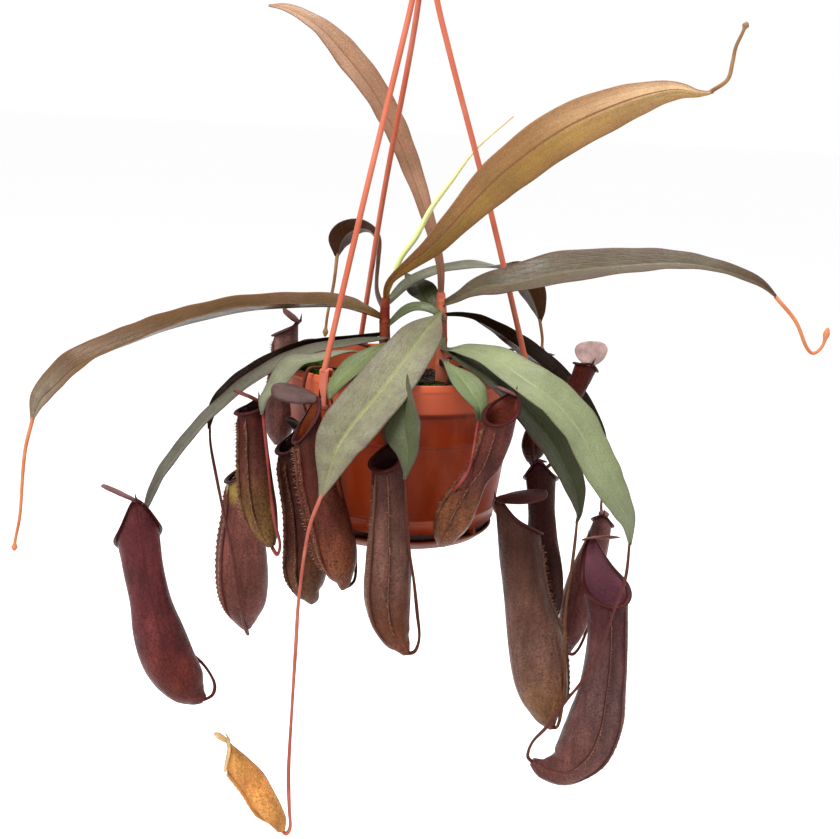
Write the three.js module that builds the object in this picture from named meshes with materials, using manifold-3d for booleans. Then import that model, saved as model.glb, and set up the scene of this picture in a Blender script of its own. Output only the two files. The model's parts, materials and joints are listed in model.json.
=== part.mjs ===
// Hanging pitcher plant in a plastic pot with a three-rod hanger. Millimetres, +Z up.
// The model is laid out from the centre of the pot's rim, then lowered so that the
// origin is the point where the hook bears on its support.
import * as THREE from "three";
import Module from "manifold-3d";

const wasm = await Module();
wasm.setup();

// ---- driving dimensions -------------------------------------------------------------
const RIM_R = 75;            // outside radius of the pot's rim band
const RIM_BAND = 17;         // height of the rim band
const WALL_TOP_R = 71;       // outside radius of the wall under the band
const WALL_LOW_R = 61;       // outside radius where the wall ends
const WALL_LOW_Z = -93;      // height where the wall steps in above the saucer
const FOOT_R = 57.5;          // radius of the recessed foot
const POT_FLOOR_Z = -99;     // underside of the pot's floor
const WALL_T = 1.8;          // plastic thickness
const SAUCER_R = 60;          // saucer's outside radius
const SAUCER_TOP_Z = -97.5;
const SAUCER_LOW_Z = -104;
const SOIL_Z = -13;          // top of the soil at the wall
const HUB_Z = 248;           // where the three rods meet
const BEAR_Z = 282.5;        // inside top of the hook
const ROD_R = 1.75;
const RODS = [[-6.3, 1.4, 0], [113.7, 0, -1.9], [233.7, 0, 0]];
const GAP = 0.3;             // clearance between touching pieces
const LEAF_T = 0.8;          // blade thickness
const PITCHER_T = 0.9;       // pitcher wall

// ---- small helpers ------------------------------------------------------------------
const V = (x, y, z) => new THREE.Vector3(x, y, z);
const vec = (a) => V(a[0], a[1], a[2]);
const rad = (d) => (d * Math.PI) / 180;

// Spline through rows of any width, in n steps.
function spline(rows, n) {
  const m = rows.length;
  const out = [];
  for (let q = 0; q <= n; q += 1) {
    const u = (q * (m - 1)) / n;
    const i = Math.min(Math.floor(u + 1e-9), m - 2);
    const f = u - i;
    const b = rows[i];
    const c = rows[i + 1];
    const a = i > 0 ? rows[i - 1] : b.map((v, j) => 2 * v - c[j]);
    const d = i + 2 < m ? rows[i + 2] : c.map((v, j) => 2 * v - b[j]);
    out.push(b.map((v, j) => 0.5 * (2 * v + (c[j] - a[j]) * f
      + (2 * a[j] - 5 * v + 4 * c[j] - d[j]) * f * f
      + (3 * v - a[j] - 3 * c[j] + d[j]) * f * f * f)));
  }
  return out;
}

// Tangents, and normals carried along the line without twist from a starting direction.
function carried(pts, start) {
  const tan = pts.map((p, i) => {
    const a = pts[Math.max(i - 1, 0)];
    const b = pts[Math.min(i + 1, pts.length - 1)];
    return b.clone().sub(a).normalize();
  });
  const nor = [];
  let n = start.clone();
  for (let i = 0; i < pts.length; i += 1) {
    n = n.clone().addScaledVector(tan[i], -n.dot(tan[i])).normalize();
    nor.push(n);
  }
  return { tan, nor };
}

// Closed skin over loops of points. alt(j) turns the diagonal of column j.
function skin(loops, alt = () => false, capA = true, capB = true) {
  const n = loops[0].length;
  const pos = [];
  const tri = [];
  loops.forEach((l) => l.forEach((p) => pos.push(p.x, p.y, p.z)));
  for (let i = 0; i + 1 < loops.length; i += 1) {
    for (let j = 0; j < n; j += 1) {
      const a = i * n + j;
      const b = i * n + ((j + 1) % n);
      if (alt(j)) {
        tri.push(a, b, a + n, b, b + n, a + n);
      } else {
        tri.push(a, b, b + n, a, b + n, a + n);
      }
    }
  }
  const last = (loops.length - 1) * n;
  for (let j = 1; j + 1 < n; j += 1) {
    if (capA) tri.push(0, j + 1, j);
    if (capB) tri.push(last, last + j, last + j + 1);
  }
  return { pos, tri };
}

function solid({ pos, tri }) {
  const mesh = new wasm.Mesh({ numProp: 3, vertProperties: new Float32Array(pos), triVerts: new Uint32Array(tri) });
  mesh.merge();
  const s = new wasm.Manifold(mesh);
  if (s.volume() < 0) {
    const back = tri.slice();
    for (let i = 0; i < back.length; i += 3) [back[i], back[i + 1]] = [back[i + 1], back[i]];
    return new wasm.Manifold(new wasm.Mesh({
      numProp: 3, vertProperties: new Float32Array(pos), triVerts: new Uint32Array(back) }));
  }
  return s;
}

function ofGeometry(geo) {
  const g = geo.index ? geo.toNonIndexed() : geo;
  const p = g.attributes.position.array;
  return solid({ pos: Array.from(p), tri: Array.from({ length: p.length / 3 }, (_, i) => i) });
}

const biggest = (s) => s.decompose().sort((a, b) => b.volume() - a.volume())[0];

function lathe(profile, sides) {
  const pos = [];
  const tri = [];
  const n = profile.length;
  for (let k = 0; k < sides; k += 1) {
    const a = (2 * Math.PI * k) / sides;
    profile.forEach(([r, z]) => pos.push(r * Math.cos(a), r * Math.sin(a), z));
  }
  for (let k = 0; k < sides; k += 1) {
    const m = (k + 1) % sides;
    for (let i = 0; i < n; i += 1) {
      const j = (i + 1) % n;
      const [a, b, c, d] = [k * n + i, m * n + i, m * n + j, k * n + j];
      if (profile[i][0] > 0) tri.push(a, b, c);
      if (profile[j][0] > 0) tri.push(a, c, d);
    }
  }
  return solid({ pos, tri });
}

function tube(points, radii, sides) {
  const pts = points.map(vec);
  const { tan, nor } = carried(pts, Math.abs(pts[1].clone().sub(pts[0]).normalize().z) > 0.8
    ? V(1, 0, 0) : V(0, 0, 1));
  return solid(skin(pts.map((p, i) => {
    const side = tan[i].clone().cross(nor[i]);
    return Array.from({ length: sides }, (_, j) => {
      const a = (2 * Math.PI * j) / sides;
      return p.clone().addScaledVector(nor[i], Math.cos(a) * radii[i])
        .addScaledVector(side, Math.sin(a) * radii[i]);
    });
  })));
}

function box(w, d, h, x, y, z, turn) {
  const g = new THREE.BoxGeometry(w, d, h);
  g.translate(x, y, z);
  g.rotateZ(rad(turn));
  return ofGeometry(g);
}

const rod = (r, h, x, y, z, sides) => {
  const g = new THREE.CylinderGeometry(r, r, h, sides);
  g.rotateX(Math.PI / 2);
  g.translate(x, y, z);
  return ofGeometry(g);
};

// ---- scene group --------------------------------------------------------------------
const COLOURS = {
  terracotta: [0.62, 0.24, 0.13, 0.5], soil: [0.09, 0.06, 0.045, 0.95], moss: [0.16, 0.25, 0.05, 0.9],
  copper: [0.42, 0.25, 0.15, 0.5], green: [0.2, 0.27, 0.14, 0.5], brown: [0.2, 0.11, 0.07, 0.5],
  stem: [0.5, 0.16, 0.08, 0.5], spear: [0.55, 0.6, 0.25, 0.5], maroon: [0.2, 0.08, 0.08, 0.45],
  amber: [0.55, 0.28, 0.08, 0.45], pink: [0.5, 0.2, 0.16, 0.5],
};
const root = new THREE.Group();
root.name = "hanging_pitcher_plant";
const made = {};


function add(name, raw, colour) {
  const s = biggest(raw.simplify(0.26));
  const m = s.getMesh();
  const g = new THREE.BufferGeometry();
  g.setAttribute("position", new THREE.BufferAttribute(new Float32Array(m.vertProperties), 3));
  g.setIndex(new THREE.BufferAttribute(new Uint32Array(m.triVerts), 1));
  g.translate(0, 0, -BEAR_Z);
  g.computeVertexNormals();
  const [r, gr, b, rough] = COLOURS[colour];
  const mat = new THREE.MeshStandardMaterial({ color: new THREE.Color(r, gr, b), roughness: rough });
  mat.name = colour;
  const mesh = new THREE.Mesh(g, mat);
  mesh.name = name;
  root.add(mesh);
  made[name] = s;
}

// ---- pot, saucer, soil, moss --------------------------------------------------------
const wallR = (z) => WALL_TOP_R + ((WALL_LOW_R - WALL_TOP_R) * (z + RIM_BAND)) / (WALL_LOW_Z + RIM_BAND);
const bead = (z, h, out) => [[wallR(z + h), z + h], [wallR(z) + out, z + h * 0.4],
  [wallR(z) + out, z - h * 0.4], [wallR(z - h), z - h]];
let pot = lathe([
  [0, POT_FLOOR_Z], [FOOT_R - 1, POT_FLOOR_Z], [FOOT_R, POT_FLOOR_Z + 1], [FOOT_R, WALL_LOW_Z],
  [WALL_LOW_R, WALL_LOW_Z], ...bead(-84, 1.6, 0.9).reverse(), ...bead(-37, 1.4, 0.7).reverse(),
  [WALL_TOP_R, -RIM_BAND], [RIM_R - 1.3, -RIM_BAND], [RIM_R - 0.5, -5], [RIM_R, -3.5], [RIM_R - 0.6, 0],
  [RIM_R - 2.6, 0], [RIM_R - 3.4, -4], [RIM_R - 3.8, -RIM_BAND + 1], [WALL_TOP_R - WALL_T, -RIM_BAND - 2],
  [WALL_LOW_R - WALL_T - 1.8, WALL_LOW_Z + 2], [FOOT_R - WALL_T, WALL_LOW_Z], [FOOT_R - WALL_T, POT_FLOOR_Z + WALL_T],
  [0, POT_FLOOR_Z + WALL_T],
], 28);
for (let k = 0; k < 8; k += 1) {
  pot = pot.add(box(4, 2.4, WALL_LOW_Z - SAUCER_TOP_Z, FOOT_R + 1.2, 0, (WALL_LOW_Z + SAUCER_TOP_Z) / 2 + 0.25,
    45 * k + 8));
}
for (let k = 0; k < 5; k += 1) {
  pot = pot.subtract(rod(4, 6, 34 * Math.cos(rad(72 * k)), 34 * Math.sin(rad(72 * k)), POT_FLOOR_Z, 8));
}
add("pot", pot, "terracotta");

add("saucer", lathe([
  [0, SAUCER_LOW_Z], [SAUCER_R - 6.5, SAUCER_LOW_Z], [SAUCER_R - 1, SAUCER_TOP_Z - 2.2], [SAUCER_R, SAUCER_TOP_Z - 1],
  [SAUCER_R, SAUCER_TOP_Z], [SAUCER_R - 1.6, SAUCER_TOP_Z], [SAUCER_R - 2.4, SAUCER_TOP_Z - 1.8],
  [SAUCER_R - 7, SAUCER_LOW_Z + 1.6], [0, SAUCER_LOW_Z + 1.6],
], 32), "terracotta");

const STEMS = {
  stem_left: [[-9, -3, -40, 3.6], [-10, -2, -12, 3.6], [-12, -1, 10, 3.5], [-13, 0, 28, 3.2], [-13, 1, 40, 2.6]],
  stem_right: [[24, 0, -40, 3.8], [24, 1, -12, 3.8], [23, 3, 12, 3.6], [22, 5, 32, 3.3], [21, 8, 44, 2.6]],
};
const stemSolid = (rows, grow) => {
  const s = spline(rows, 6);
  return tube(s, s.map((r) => r[3] + grow), 8);
};
const BED = [[-9, -3, 6], [24, 0, 6.2]];
let soil = lathe([
  [0, POT_FLOOR_Z + WALL_T + GAP], [FOOT_R - WALL_T - GAP, POT_FLOOR_Z + WALL_T + GAP],
  [FOOT_R - WALL_T - GAP, WALL_LOW_Z + 0.4], [WALL_LOW_R - WALL_T - 2.3 - GAP, WALL_LOW_Z + 2.2],
  [WALL_TOP_R - WALL_T - GAP - 0.6, -RIM_BAND - 3], [WALL_TOP_R - WALL_T - 1.2, SOIL_Z - 3], [52, SOIL_Z],
  [28, SOIL_Z + 2.5], [0, SOIL_Z + 3],
], 28);
Object.values(STEMS).forEach((rows) => {
  soil = soil.subtract(tube([[rows[0][0], rows[0][1], -41], [rows[1][0], rows[1][1], -11], [rows[1][0], rows[1][1], 5]],
    [4.4, 4.4, 4.4], 10));
});
add("soil", biggest(soil), "soil");

// Moss: one cushion along the rim, from the left round the front.
const MOSS = [[148, 5, 4], [160, 11, 8], [174, 11, 8.5], [187, 9, 6.5], [200, 9, 5.5], [214, 8, 3.5], [228, 8, 4], [242, 7, 3], [256, 7, 2.5],
  [268, 7, 5], [280, 8, 7], [292, 8, 6.5], [304, 7, 3]];
const cushion = solid(skin(MOSS.map(([az, w, h], i) => {
  const end = i === 0 || i === MOSS.length - 1;
  const k = end ? 0.3 : 1;
  const at = (r, z) => V(r * Math.cos(rad(az)), r * Math.sin(rad(az)), z);
  const low = -14.2;
  return [at(64.5, low - 1), at(65, low + h * k), at(61, low + 2 + 1.6 * h * k), at(61 - w * 0.6, low + 2 + h * k),
    at(61 - w, low + 0.9), at(62 - w * 0.5, low - 0.2)];
})));
add("moss", biggest(cushion.subtract(soil.translate([0, 0, GAP]))), "moss");

// ---- hanger -------------------------------------------------------------------------
const HOOK = [[0, 0, HUB_Z - 3], [0.5, 0, 254], [8, 0, 259], [13, 0, 265], [13.5, 0, 272], [9.5, 0, 281.5],
  [0, 0, 285.5], [-9.5, 0, 281.5], [-13.5, 0, 272], [-13, 0, 265]];
const hookLine = spline(HOOK, 16);
let hub = tube(hookLine, hookLine.map((_, i) => (i === hookLine.length - 1 ? 2.2 : 3)), 7);
hub = hub.add(lathe([[0, HUB_Z - 5], [5, HUB_Z - 5], [7, HUB_Z - 3], [7, HUB_Z + 1], [3, HUB_Z + 5], [0, HUB_Z + 5]], 12));

// out, aside: how far the upper part of a rod stands off the straight line to the hub.
function hangerRod([az, out, aside], grow) {
  const path = spline([[75.6, 0, 3.5], [72.8 + out / 2, 0, 13], [45.3 + out, 0, 102], [18.4 + out, aside, 184],
    [7 + out, aside, 222], [4.6 + out / 2, aside, HUB_Z - 1]], 7);
  let s = tube(path, path.map(() => ROD_R + grow), 6);
  if (grow === 0) {
    const strap = new THREE.Shape();
    [[76.8, 4.2], [74.6, 5.4], [71.6, 5.2], [69.6, 3.4], [69.3, -6], [70.7, -6], [71, 2.4], [72.2, 3.6],
      [74.4, 3.7], [75.4, 2.2], [75.5, -15.5], [74.2, -17.4], [73.4, -17.4], [73.4, -18.8], [75, -18.8],
      [77, -16.4]].forEach(([x, y], i) => (i ? strap.lineTo(x, y) : strap.moveTo(x, y)));
    const g = new THREE.ExtrudeGeometry(strap, { depth: 5.6, bevelEnabled: false });
    g.translate(0, 0, -2.8);
    g.rotateX(Math.PI / 2);
    s = s.add(ofGeometry(g));
  }
  return s.rotate([0, 0, az]);
}
const ROD_NAMES = ["hanger_rod_right", "hanger_rod_back", "hanger_rod_front"];
RODS.forEach((at) => {
  hub = hub.subtract(hangerRod(at, GAP));
});
add("hanger_hook", biggest(hub), "terracotta");
RODS.forEach((at, i) => add(ROD_NAMES[i], hangerRod(at, 0), "terracotta"));

// ---- stems --------------------------------------------------------------------------
Object.entries(STEMS).forEach(([name, rows]) => add(name, stemSolid(rows, 0), "stem"));
const stemRoom = stemSolid(STEMS.stem_left, GAP).add(stemSolid(STEMS.stem_right, GAP));

// ---- leaves -------------------------------------------------------------------------
// Row: x, y, z of the midrib, half width, turn of the blade in degrees.
const LEAVES = {
  leaf_top_left: [
    [21, 8, 41, 2, 30], [19, 14, 62, 3, 30], [9, 28, 91, 6, 40], [-3, 44, 119, 9, 40],
    [-15, 51, 143, 11, 40], [-28, 56, 164, 11, 35], [-47, 60, 186, 11, 30], [-64, 62, 202, 8, 35],
    [-83, 62, 212, 5, 40], [-97, 62, 214, 1, 40],
  ],
  leaf_top_right: [
    [-13, 1, 37, 2, 35], [-10, -4, 52, 3, 35], [13, -12, 74, 8, 30], [35, -20, 100, 11, 20],
    [55, -26, 122, 15, 20], [86, -32, 147, 15, 10], [119, -36, 164, 13, 25], [145, -38, 172, 8, 35],
    [161, -40, 171, 3, 40], [169, -40, 172, 1, 40],
  ],
  leaf_right: [
    [22, 6, 37, 2, 65], [31, -6, 43, 4, 65], [45, -16, 52, 8, 60], [62, -25, 56, 12, 50],
    [93, -28, 65, 13, 55], [134, -28, 71, 12, 45], [162, -26, 73, 9, 45], [187, -24, 70, 7, 45],
    [210, -20, 63, 4, 60], [223, -18, 54, 1, 60],
  ],
  leaf_back_right: [
    [-13, 1, 35, 2, 5], [1, 20, 48, 5, 5], [20, 34, 55, 7, 0], [44, 46, 58, 9, 0],
    [66, 56, 56, 13, -30], [78, 58, 45, 13, -40], [85, 58, 32, 8, -35], [88, 58, 22, 1, -35],
  ],
  leaf_small_back: [
    [22, 5, 27, 2, 10], [15, 20, 35, 8, 10], [8, 28, 43, 10, -5], [2, 36, 48, 5, 0],
    [-2, 42, 51, 1, 0],
  ],
  leaf_small_centre: [
    [-12, -1, 22, 2, 35], [-2, -4, 32, 5, 35], [7, -6, 36, 7, 20], [17, -6, 34, 5, 25],
    [25, -6, 28, 1, 25],
  ],
  leaf_long_brown: [
    [22, 4, 31, 2, -25], [35, 6, 31, 4, -25], [46, 10, 28, 7, -20], [59, 14, 21, 9, -25],
    [71, 18, 13, 10, -30], [86, 20, 2, 11, -30], [101, 20, -10, 10, -30], [115, 18, -24, 8, -35],
    [127, 16, -40, 4, -35], [132, 14, -50, 1, -35],
  ],
  leaf_long_left: [
    [-13, 0, 27, 2, -25], [-27, -4, 32, 6, -25], [-42, -4, 35, 9, -20], [-68, -6, 34, 11, -15],
    [-97, -10, 31, 12, -15], [-125, -14, 24, 12, -15], [-147, -17, 17, 12, -20],
    [-166, -20, 9, 12, -25], [-184, -22, 1, 11, -30], [-199, -24, -8, 10, -45],
    [-211, -24, -20, 9, -50], [-220, -24, -30, 6, -65], [-225, -24, -43, 1, -65],
  ],
  leaf_big_front_right: [
    [23, 3, 18, 2, 20], [25, -18, 13, 2, 20], [35, -34, 16, 6, 20], [52, -58, 16, 11, 15],
    [73, -76, 6, 14, 15], [87, -80, -3, 15, 15], [101, -84, -17, 15, 15], [110, -86, -32, 14, 20],
    [119, -86, -46, 13, 20], [127, -84, -59, 10, 20], [134, -82, -71, 6, 25], [137, -80, -86, 1, 25],
  ],
  leaf_under_front_right: [
    [24, 2, 9, 2, 0], [26, -24, 13, 2, 0], [36, -42, 10, 6, 0], [52, -63, 4, 9, 0],
    [66, -67, -6, 13, 5], [77, -69, -17, 14, 10], [89, -69, -30, 14, 15], [98, -67, -45, 12, 15],
    [105, -65, -60, 8, 20], [108, -64, -72, 3, 25], [107, -64, -79, 1, 25],
  ],
  leaf_small_front: [
    [24, 1, 0, 2, 0], [25, -22, 7, 3, 0], [26, -46, 9, 2, 0], [34, -72, 6, 8, 0], [40, -82, 0, 10, -5],
    [45, -86, -8, 6, -10], [45, -87, -17, 1, -10],
  ],
  leaf_wide_front: [
    [22, 5, 33, 2, -15], [20, -12, 32, 2, -15], [12, -34, 25, 11, -15], [3, -56, 15, 14, -20],
    [-11, -82, -2, 16, -15], [-23, -94, -16, 16, -15], [-30, -99, -26, 15, -15],
    [-34, -103, -34, 12, -15], [-38, -107, -49, 5, -25], [-41, -108, -59, 1, -25],
  ],
  leaf_under_wide_left: [
    [-11, -2, 9, 2, -15], [-11, -30, 16, 2, -15], [-24, -50, 9, 7, -15], [-31, -66, 4, 7, -10],
    [-37, -76, -2, 5, -5], [-40, -80, -9, 1, -5],
  ],
  leaf_under_wide_right: [
    [-10, -2, 1, 2, 20], [-4, -22, 7, 3, 30], [1, -46, 10, 2, 40], [2, -70, 7, 6, 40],
    [2, -84, -4, 9, 30], [3, -92, -20, 11, 25], [6, -98, -32, 8, 35], [6, -100, -43, 3, 45],
    [5, -101, -48, 1, 45],
  ],
  leaf_left_green: [
    [-12, -1, 15, 2, -20], [-13, -8, 16, 2, -20], [-33, -14, 13, 5, -20], [-61, -24, 7, 8, -15],
    [-88, -32, -8, 9, -10], [-113, -35, -30, 9, -10], [-130, -36, -51, 8, -15],
    [-143, -35, -70, 7, -20], [-151, -33, -87, 4, -30], [-154, -32, -96, 1, -30],
  ],
  leaf_left_brown: [
    [-12, -1, 18, 2, 35], [-43, -4, 12, 5, 35], [-66, -10, 7, 8, 30], [-87, -16, -4, 9, 35],
    [-102, -20, -15, 9, 35], [-113, -22, -28, 6, 40], [-117, -22, -43, 1, 40],
  ],
  leaf_small_left: [
    [-11, -2, 3, 2, -10], [-32, -26, 10, 2, -10], [-50, -36, 6.5, 7, -10], [-64, -45, 4, 9, -10],
    [-73, -57, -8, 7, -5], [-78, -66, -14, 5, 10], [-79, -70, -22, 1, 10],
  ],
  leaf_back_left: [
    [-13, 1, 31, 2, 115], [-20, 30, 41, 2, 115], [-21, 60, 56, 2, 125], [-22, 80, 68, 3, 110],
    [-29, 90, 75, 5, 75], [-40, 92, 74, 9, 70], [-48, 92, 66, 10, 75], [-50, 90, 55, 2, 65],
  ],
};
const STEEP = ["leaf_top_left", "leaf_top_right"];
// How deep a blade is folded along its midrib, per half width, where it is more than usual.
const FOLD = { leaf_long_left: 0.4, leaf_right: 0.28 };
const LEAF_COLOUR = { leaf_top_left: "copper", leaf_top_right: "copper", leaf_long_brown: "brown",
  leaf_left_brown: "brown", leaf_back_left: "brown" };

function blade(name, grow) {
  const line = spline(LEAVES[name], LEAVES[name].length > 6 ? 14 : 8);
  const pts = line.map(vec);
  const { tan, nor } = carried(pts, STEEP.includes(name) ? V(0, -1, 0.3) : V(0, 0, 1));
  const t = LEAF_T / 2 + grow;
  return solid(skin(pts.map((p, i) => {
    const w = Math.max(line[i][3], 0.9) + grow;
    const a = rad(line[i][4]);
    const side0 = tan[i].clone().cross(nor[i]);
    const up = nor[i].clone().multiplyScalar(Math.cos(a)).addScaledVector(side0, Math.sin(a));
    const side = tan[i].clone().cross(up);
    const dip = (FOLD[name] ?? 0.16) * w;
    const at = (s, u) => p.clone().addScaledVector(side, s).addScaledVector(up, u);
    return [at(w, dip + t), at(0, t - dip * 0.3), at(-w, dip + t), at(-w, dip - t), at(0, -t - 0.3 - dip * 0.3),
      at(w, dip - t)];
  }), (j) => j === 3 || j === 4));
}

// ---- pitchers -----------------------------------------------------------------------
// Row: x, y, z of the centre line from the foot to the mouth, radius.
// front: side of the wings; slope: fall of the mouth; lid: direction and length;
// side: the lid's half width, where it isn't level with the mouth; neck: rise of the wall under it.
const PITCHERS = {
  pitcher_far_left: [
    [-111, -60, -204, 2.7], [-116, -60, -201, 7.3], [-123, -60, -194, 13.1], [-133, -60, -179, 15.8],
    [-140, -60, -160, 14.8], [-145, -60, -140, 12.3], [-149, -60, -120, 12], [-152, -60, -102, 12.8],
  ],
  pitcher_left_low: [
    [-91, -20, -172, 2.9], [-92, -20, -166, 7.6], [-93, -20, -157, 13], [-94, -20, -141, 15.7],
    [-95, -20, -117, 14.7], [-96, -20, -92, 10.6], [-97, -20, -71, 8.7],
  ],
  pitcher_left_tall: [
    [-73, -56, -105, 2.7], [-76, -56, -97, 7.2], [-80, -56, -84, 9.8], [-83, -56, -68, 10.1],
    [-85, -56, -50, 9.1], [-86, -56, -35, 8.2], [-88, -56, -23, 7.6],
  ],
  pitcher_left_front: [
    [-28, -80, -121, 2], [-28, -80, -116, 5.2], [-30, -80, -109, 9.3], [-33, -80, -97, 12.2],
    [-38, -80, -80, 12.1], [-45, -80, -59, 10.3], [-49, -80, -39, 9.1], [-52, -80, -24, 8.5],
  ],
  pitcher_left_mid: [
    [-48, -52, -141, 2.1], [-49, -52, -137, 5.5], [-51, -52, -131, 9.4], [-52, -52, -119, 12.4],
    [-53, -52, -102, 11.7], [-56, -51, -83, 9.9], [-61, -50, -62, 8.6], [-64, -50, -44, 8],
  ],
  pitcher_centre: [
    [11, -86, -157, 2.3], [8, -86, -152, 5.3], [4, -86, -146, 8.8], [0, -86, -134, 12.2],
    [-2, -86, -119, 13.6], [-2, -86, -100, 13.3], [-3, -86, -82, 11.5], [-4, -86, -62, 9.7],
    [-6, -86, -42, 8.5],
  ],
  pitcher_front_right: [
    [28, -77, -92, 2.9], [30, -79, -85, 7.5], [34, -81, -74, 10.7], [39, -84, -61, 9.7],
    [45, -88, -48, 7.7], [51, -91, -37, 7.9], [55, -93, -23, 8.7], [57, -94, -9, 8.9],
  ],
  pitcher_right_big: [
    [102, -62, -210, 2.1], [100, -62, -206, 5.2], [98, -62, -200, 9.4], [96, -62, -190, 14],
    [92, -62, -174, 16.9], [88, -62, -154, 16.8], [81, -62, -129, 13.2], [76, -62, -104, 12.5],
    [73, -62, -82, 12.7],
  ],
  pitcher_right_behind: [
    [98, -34, -158, 2.5], [97, -34, -143, 8.1], [95, -34, -125, 10.5], [91, -34, -103, 9.8],
    [89, -34, -81, 8.2], [87, -34, -61, 9.1],
  ],
  pitcher_far_right: [
    [91, -66, -231, 2.7], [99, -66, -235, 6.7], [111, -66, -233, 11.9], [122, -66, -219, 16.4],
    [128, -66, -200, 16.7], [130, -66, -181, 14.2], [131, -66, -160, 12.6], [130, -66, -139, 11.9],
    [127, -66, -117, 13.1],
  ],
  pitcher_far_right_back: [
    [112, -24, -175, 2.5], [113, -24, -165, 6.9], [116, -24, -147, 10.4], [119, -24, -127, 10],
    [125, -24, -105, 7.8], [128, -24, -90, 5.9],
  ],
  pitcher_upper_right: [
    [82, -8, -57, 2.5], [83, -8, -51, 6.6], [85, -8, -42, 8.7], [92, -8, -31, 8.7],
    [101, -8, -19, 7.1], [108, -8, -7, 6.2], [112, -8, 4, 6.8],
  ],
  pitcher_upper_right_back: [
    [97, 42, -57, 2], [96, 42, -49, 5.3], [95, 42, -35, 7.2], [94, 42, -19, 5.9], [92, 42, -5, 6.5],
  ],
  pitcher_upper_left: [
    [-80, 34, -64, 3], [-80, 34, -55, 8.5], [-79, 34, -41, 10.8], [-78, 34, -24, 9.4],
    [-77, 34, -5, 8.1], [-77, 34, 11, 7.7],
  ],
  pitcher_young: [
    [-57, -106, -263, 2.6], [-60, -106, -256, 5.6], [-67, -106, -246, 7.6], [-74, -106, -234, 7.9],
    [-82, -106, -225, 7.3], [-89, -106, -218, 6.1],
  ],
};
// Tendrils from leaf tip to pitcher foot, or to a free end with a bud.
const TENDRILS = {
  pitcher_far_left: [
    [-153.4, -32.2, -94.1], [-149, -38, -114], [-144, -40, -142], [-136, -40, -168], [-123, -42, -181],
    [-113, -48, -187], [-106, -54, -195], [-106, -58, -201],
  ],
  pitcher_left_low: [
    [-116.5, -22, -41.1], [-115, -26, -53], [-110, -32, -72], [-103, -40, -97], [-98, -42, -117],
    [-93, -40, -149], [-92, -30, -165], [-90, -22, -175],
  ],
  pitcher_left_tall: [
    [-78.8, -69.1, -20.2], [-76, -71, -40], [-73, -71, -65], [-70, -71, -85], [-67, -66, -100],
    [-69, -60, -109],
  ],
  pitcher_left_front: [
    [-39.3, -79.1, -7.4], [-36, -69, -26], [-33, -64, -61], [-25, -63, -91], [-22, -64, -108],
    [-22, -71, -119],
  ],
  pitcher_left_mid: [
    [-11, -3, -6], [-25, -24, -2], [-39, -41, 2], [-50, -52, 4], [-55, -57, 2], [-57, -57, -14],
    [-54, -50, -30], [-54, -46, -60], [-51, -43, -100], [-47, -43, -126], [-45, -47, -139],
  ],
  pitcher_centre: [
    [5.4, -100.6, -46.1], [7, -100, -66], [9, -94, -88], [13, -90, -110], [16, -87, -131],
    [18, -86, -146], [16, -86, -155],
  ],
  pitcher_front_right: [
    [45, -86.8, -15], [43, -93, -30], [41, -98, -40], [37, -97, -48], [32, -87, -59], [31, -73, -71],
    [30, -67, -83], [29, -70, -90],
  ],
  pitcher_right_big: [
    [107.3, -64, -77], [107, -64, -92], [106, -64, -111], [104, -68, -132], [104, -75, -148],
    [106, -74, -173], [106, -70, -193], [105, -65, -207],
  ],
  pitcher_right_behind: [
    [24, 1, -2], [45, -14, 3], [66, -22, 4], [76, -26, 1], [80, -25, -14], [82, -18, -44],
    [86, -16, -80], [90, -15, -120], [95, -17, -152], [99, -26, -163],
  ],
  pitcher_far_right: [
    [136.6, -80.3, -84.1], [135, -86, -104], [129, -90, -124], [124, -90, -145], [116, -90, -164],
    [106, -86, -182], [97, -78, -202], [90, -70, -216], [88, -66, -227],
  ],
  pitcher_far_right_back: [
    [131.1, 14.4, -48.2], [132, 10, -64], [130, 2, -77], [129, -8, -87], [134, -8, -103],
    [133, -6, -125], [129, -8, -148], [123, -16, -169], [117, -22, -177],
  ],
  pitcher_upper_right: [
    [24, 2, 3], [50, 4, 8], [72, 4, 6], [88, 2, 0], [99, 2, -16], [104, 6, -32], [102, 8, -51],
    [95, 4, -62], [87, -4, -63],
  ],
  pitcher_upper_right_back: [
    [23, 4, 7], [45, 26, 9], [62, 38, 5], [75, 44, 4], [83, 50, -10], [91, 54, -30], [98, 54, -50],
    [101, 48, -61],
  ],
  pitcher_upper_left: [
    [-12, 0, 7], [-35, 16, 9], [-56, 30, 7], [-68, 37, 3.5], [-74, 44, -6], [-75, 51, -24],
    [-75, 52, -44], [-76, 47, -60], [-79, 38, -67],
  ],
  pitcher_young: [
    [-40.4, -107.8, -57.1], [-47, -108, -79], [-51, -108, -116], [-52, -108, -148], [-53, -107, -181],
    [-54, -106, -223], [-53, -106, -247], [-52, -106, -260], [-54, -106, -265],
  ],
  bud_top_right: [
    [167, -40, 171.8], [176, -40, 179], [178, -40, 189], [179, -40, 197], [182, -40, 205],
    [184, -40, 211],
  ],
  bud_right: [
    [221.4, -18.3, 55.1], [235, -18, 41], [243, -18, 26], [248, -18, 22], [253, -18, 27],
    [255, -18, 38],
  ],
  bud_back_right: [
    [87.4, 58, 23.9], [88, 58, 21], [90, 58, 11], [90, 56, 2],
  ],
  bud_left: [
    [-224.3, -24, -41.1], [-229, -24, -60], [-231, -24, -77], [-233, -24, -103], [-236, -24, -119],
    [-237, -24, -127],
  ],
  bud_back_left: [
    [-49.6, 90.4, 56.9], [-51, 86, 37], [-54, 80, 17], [-55, 76, 2],
  ],
};
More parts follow.
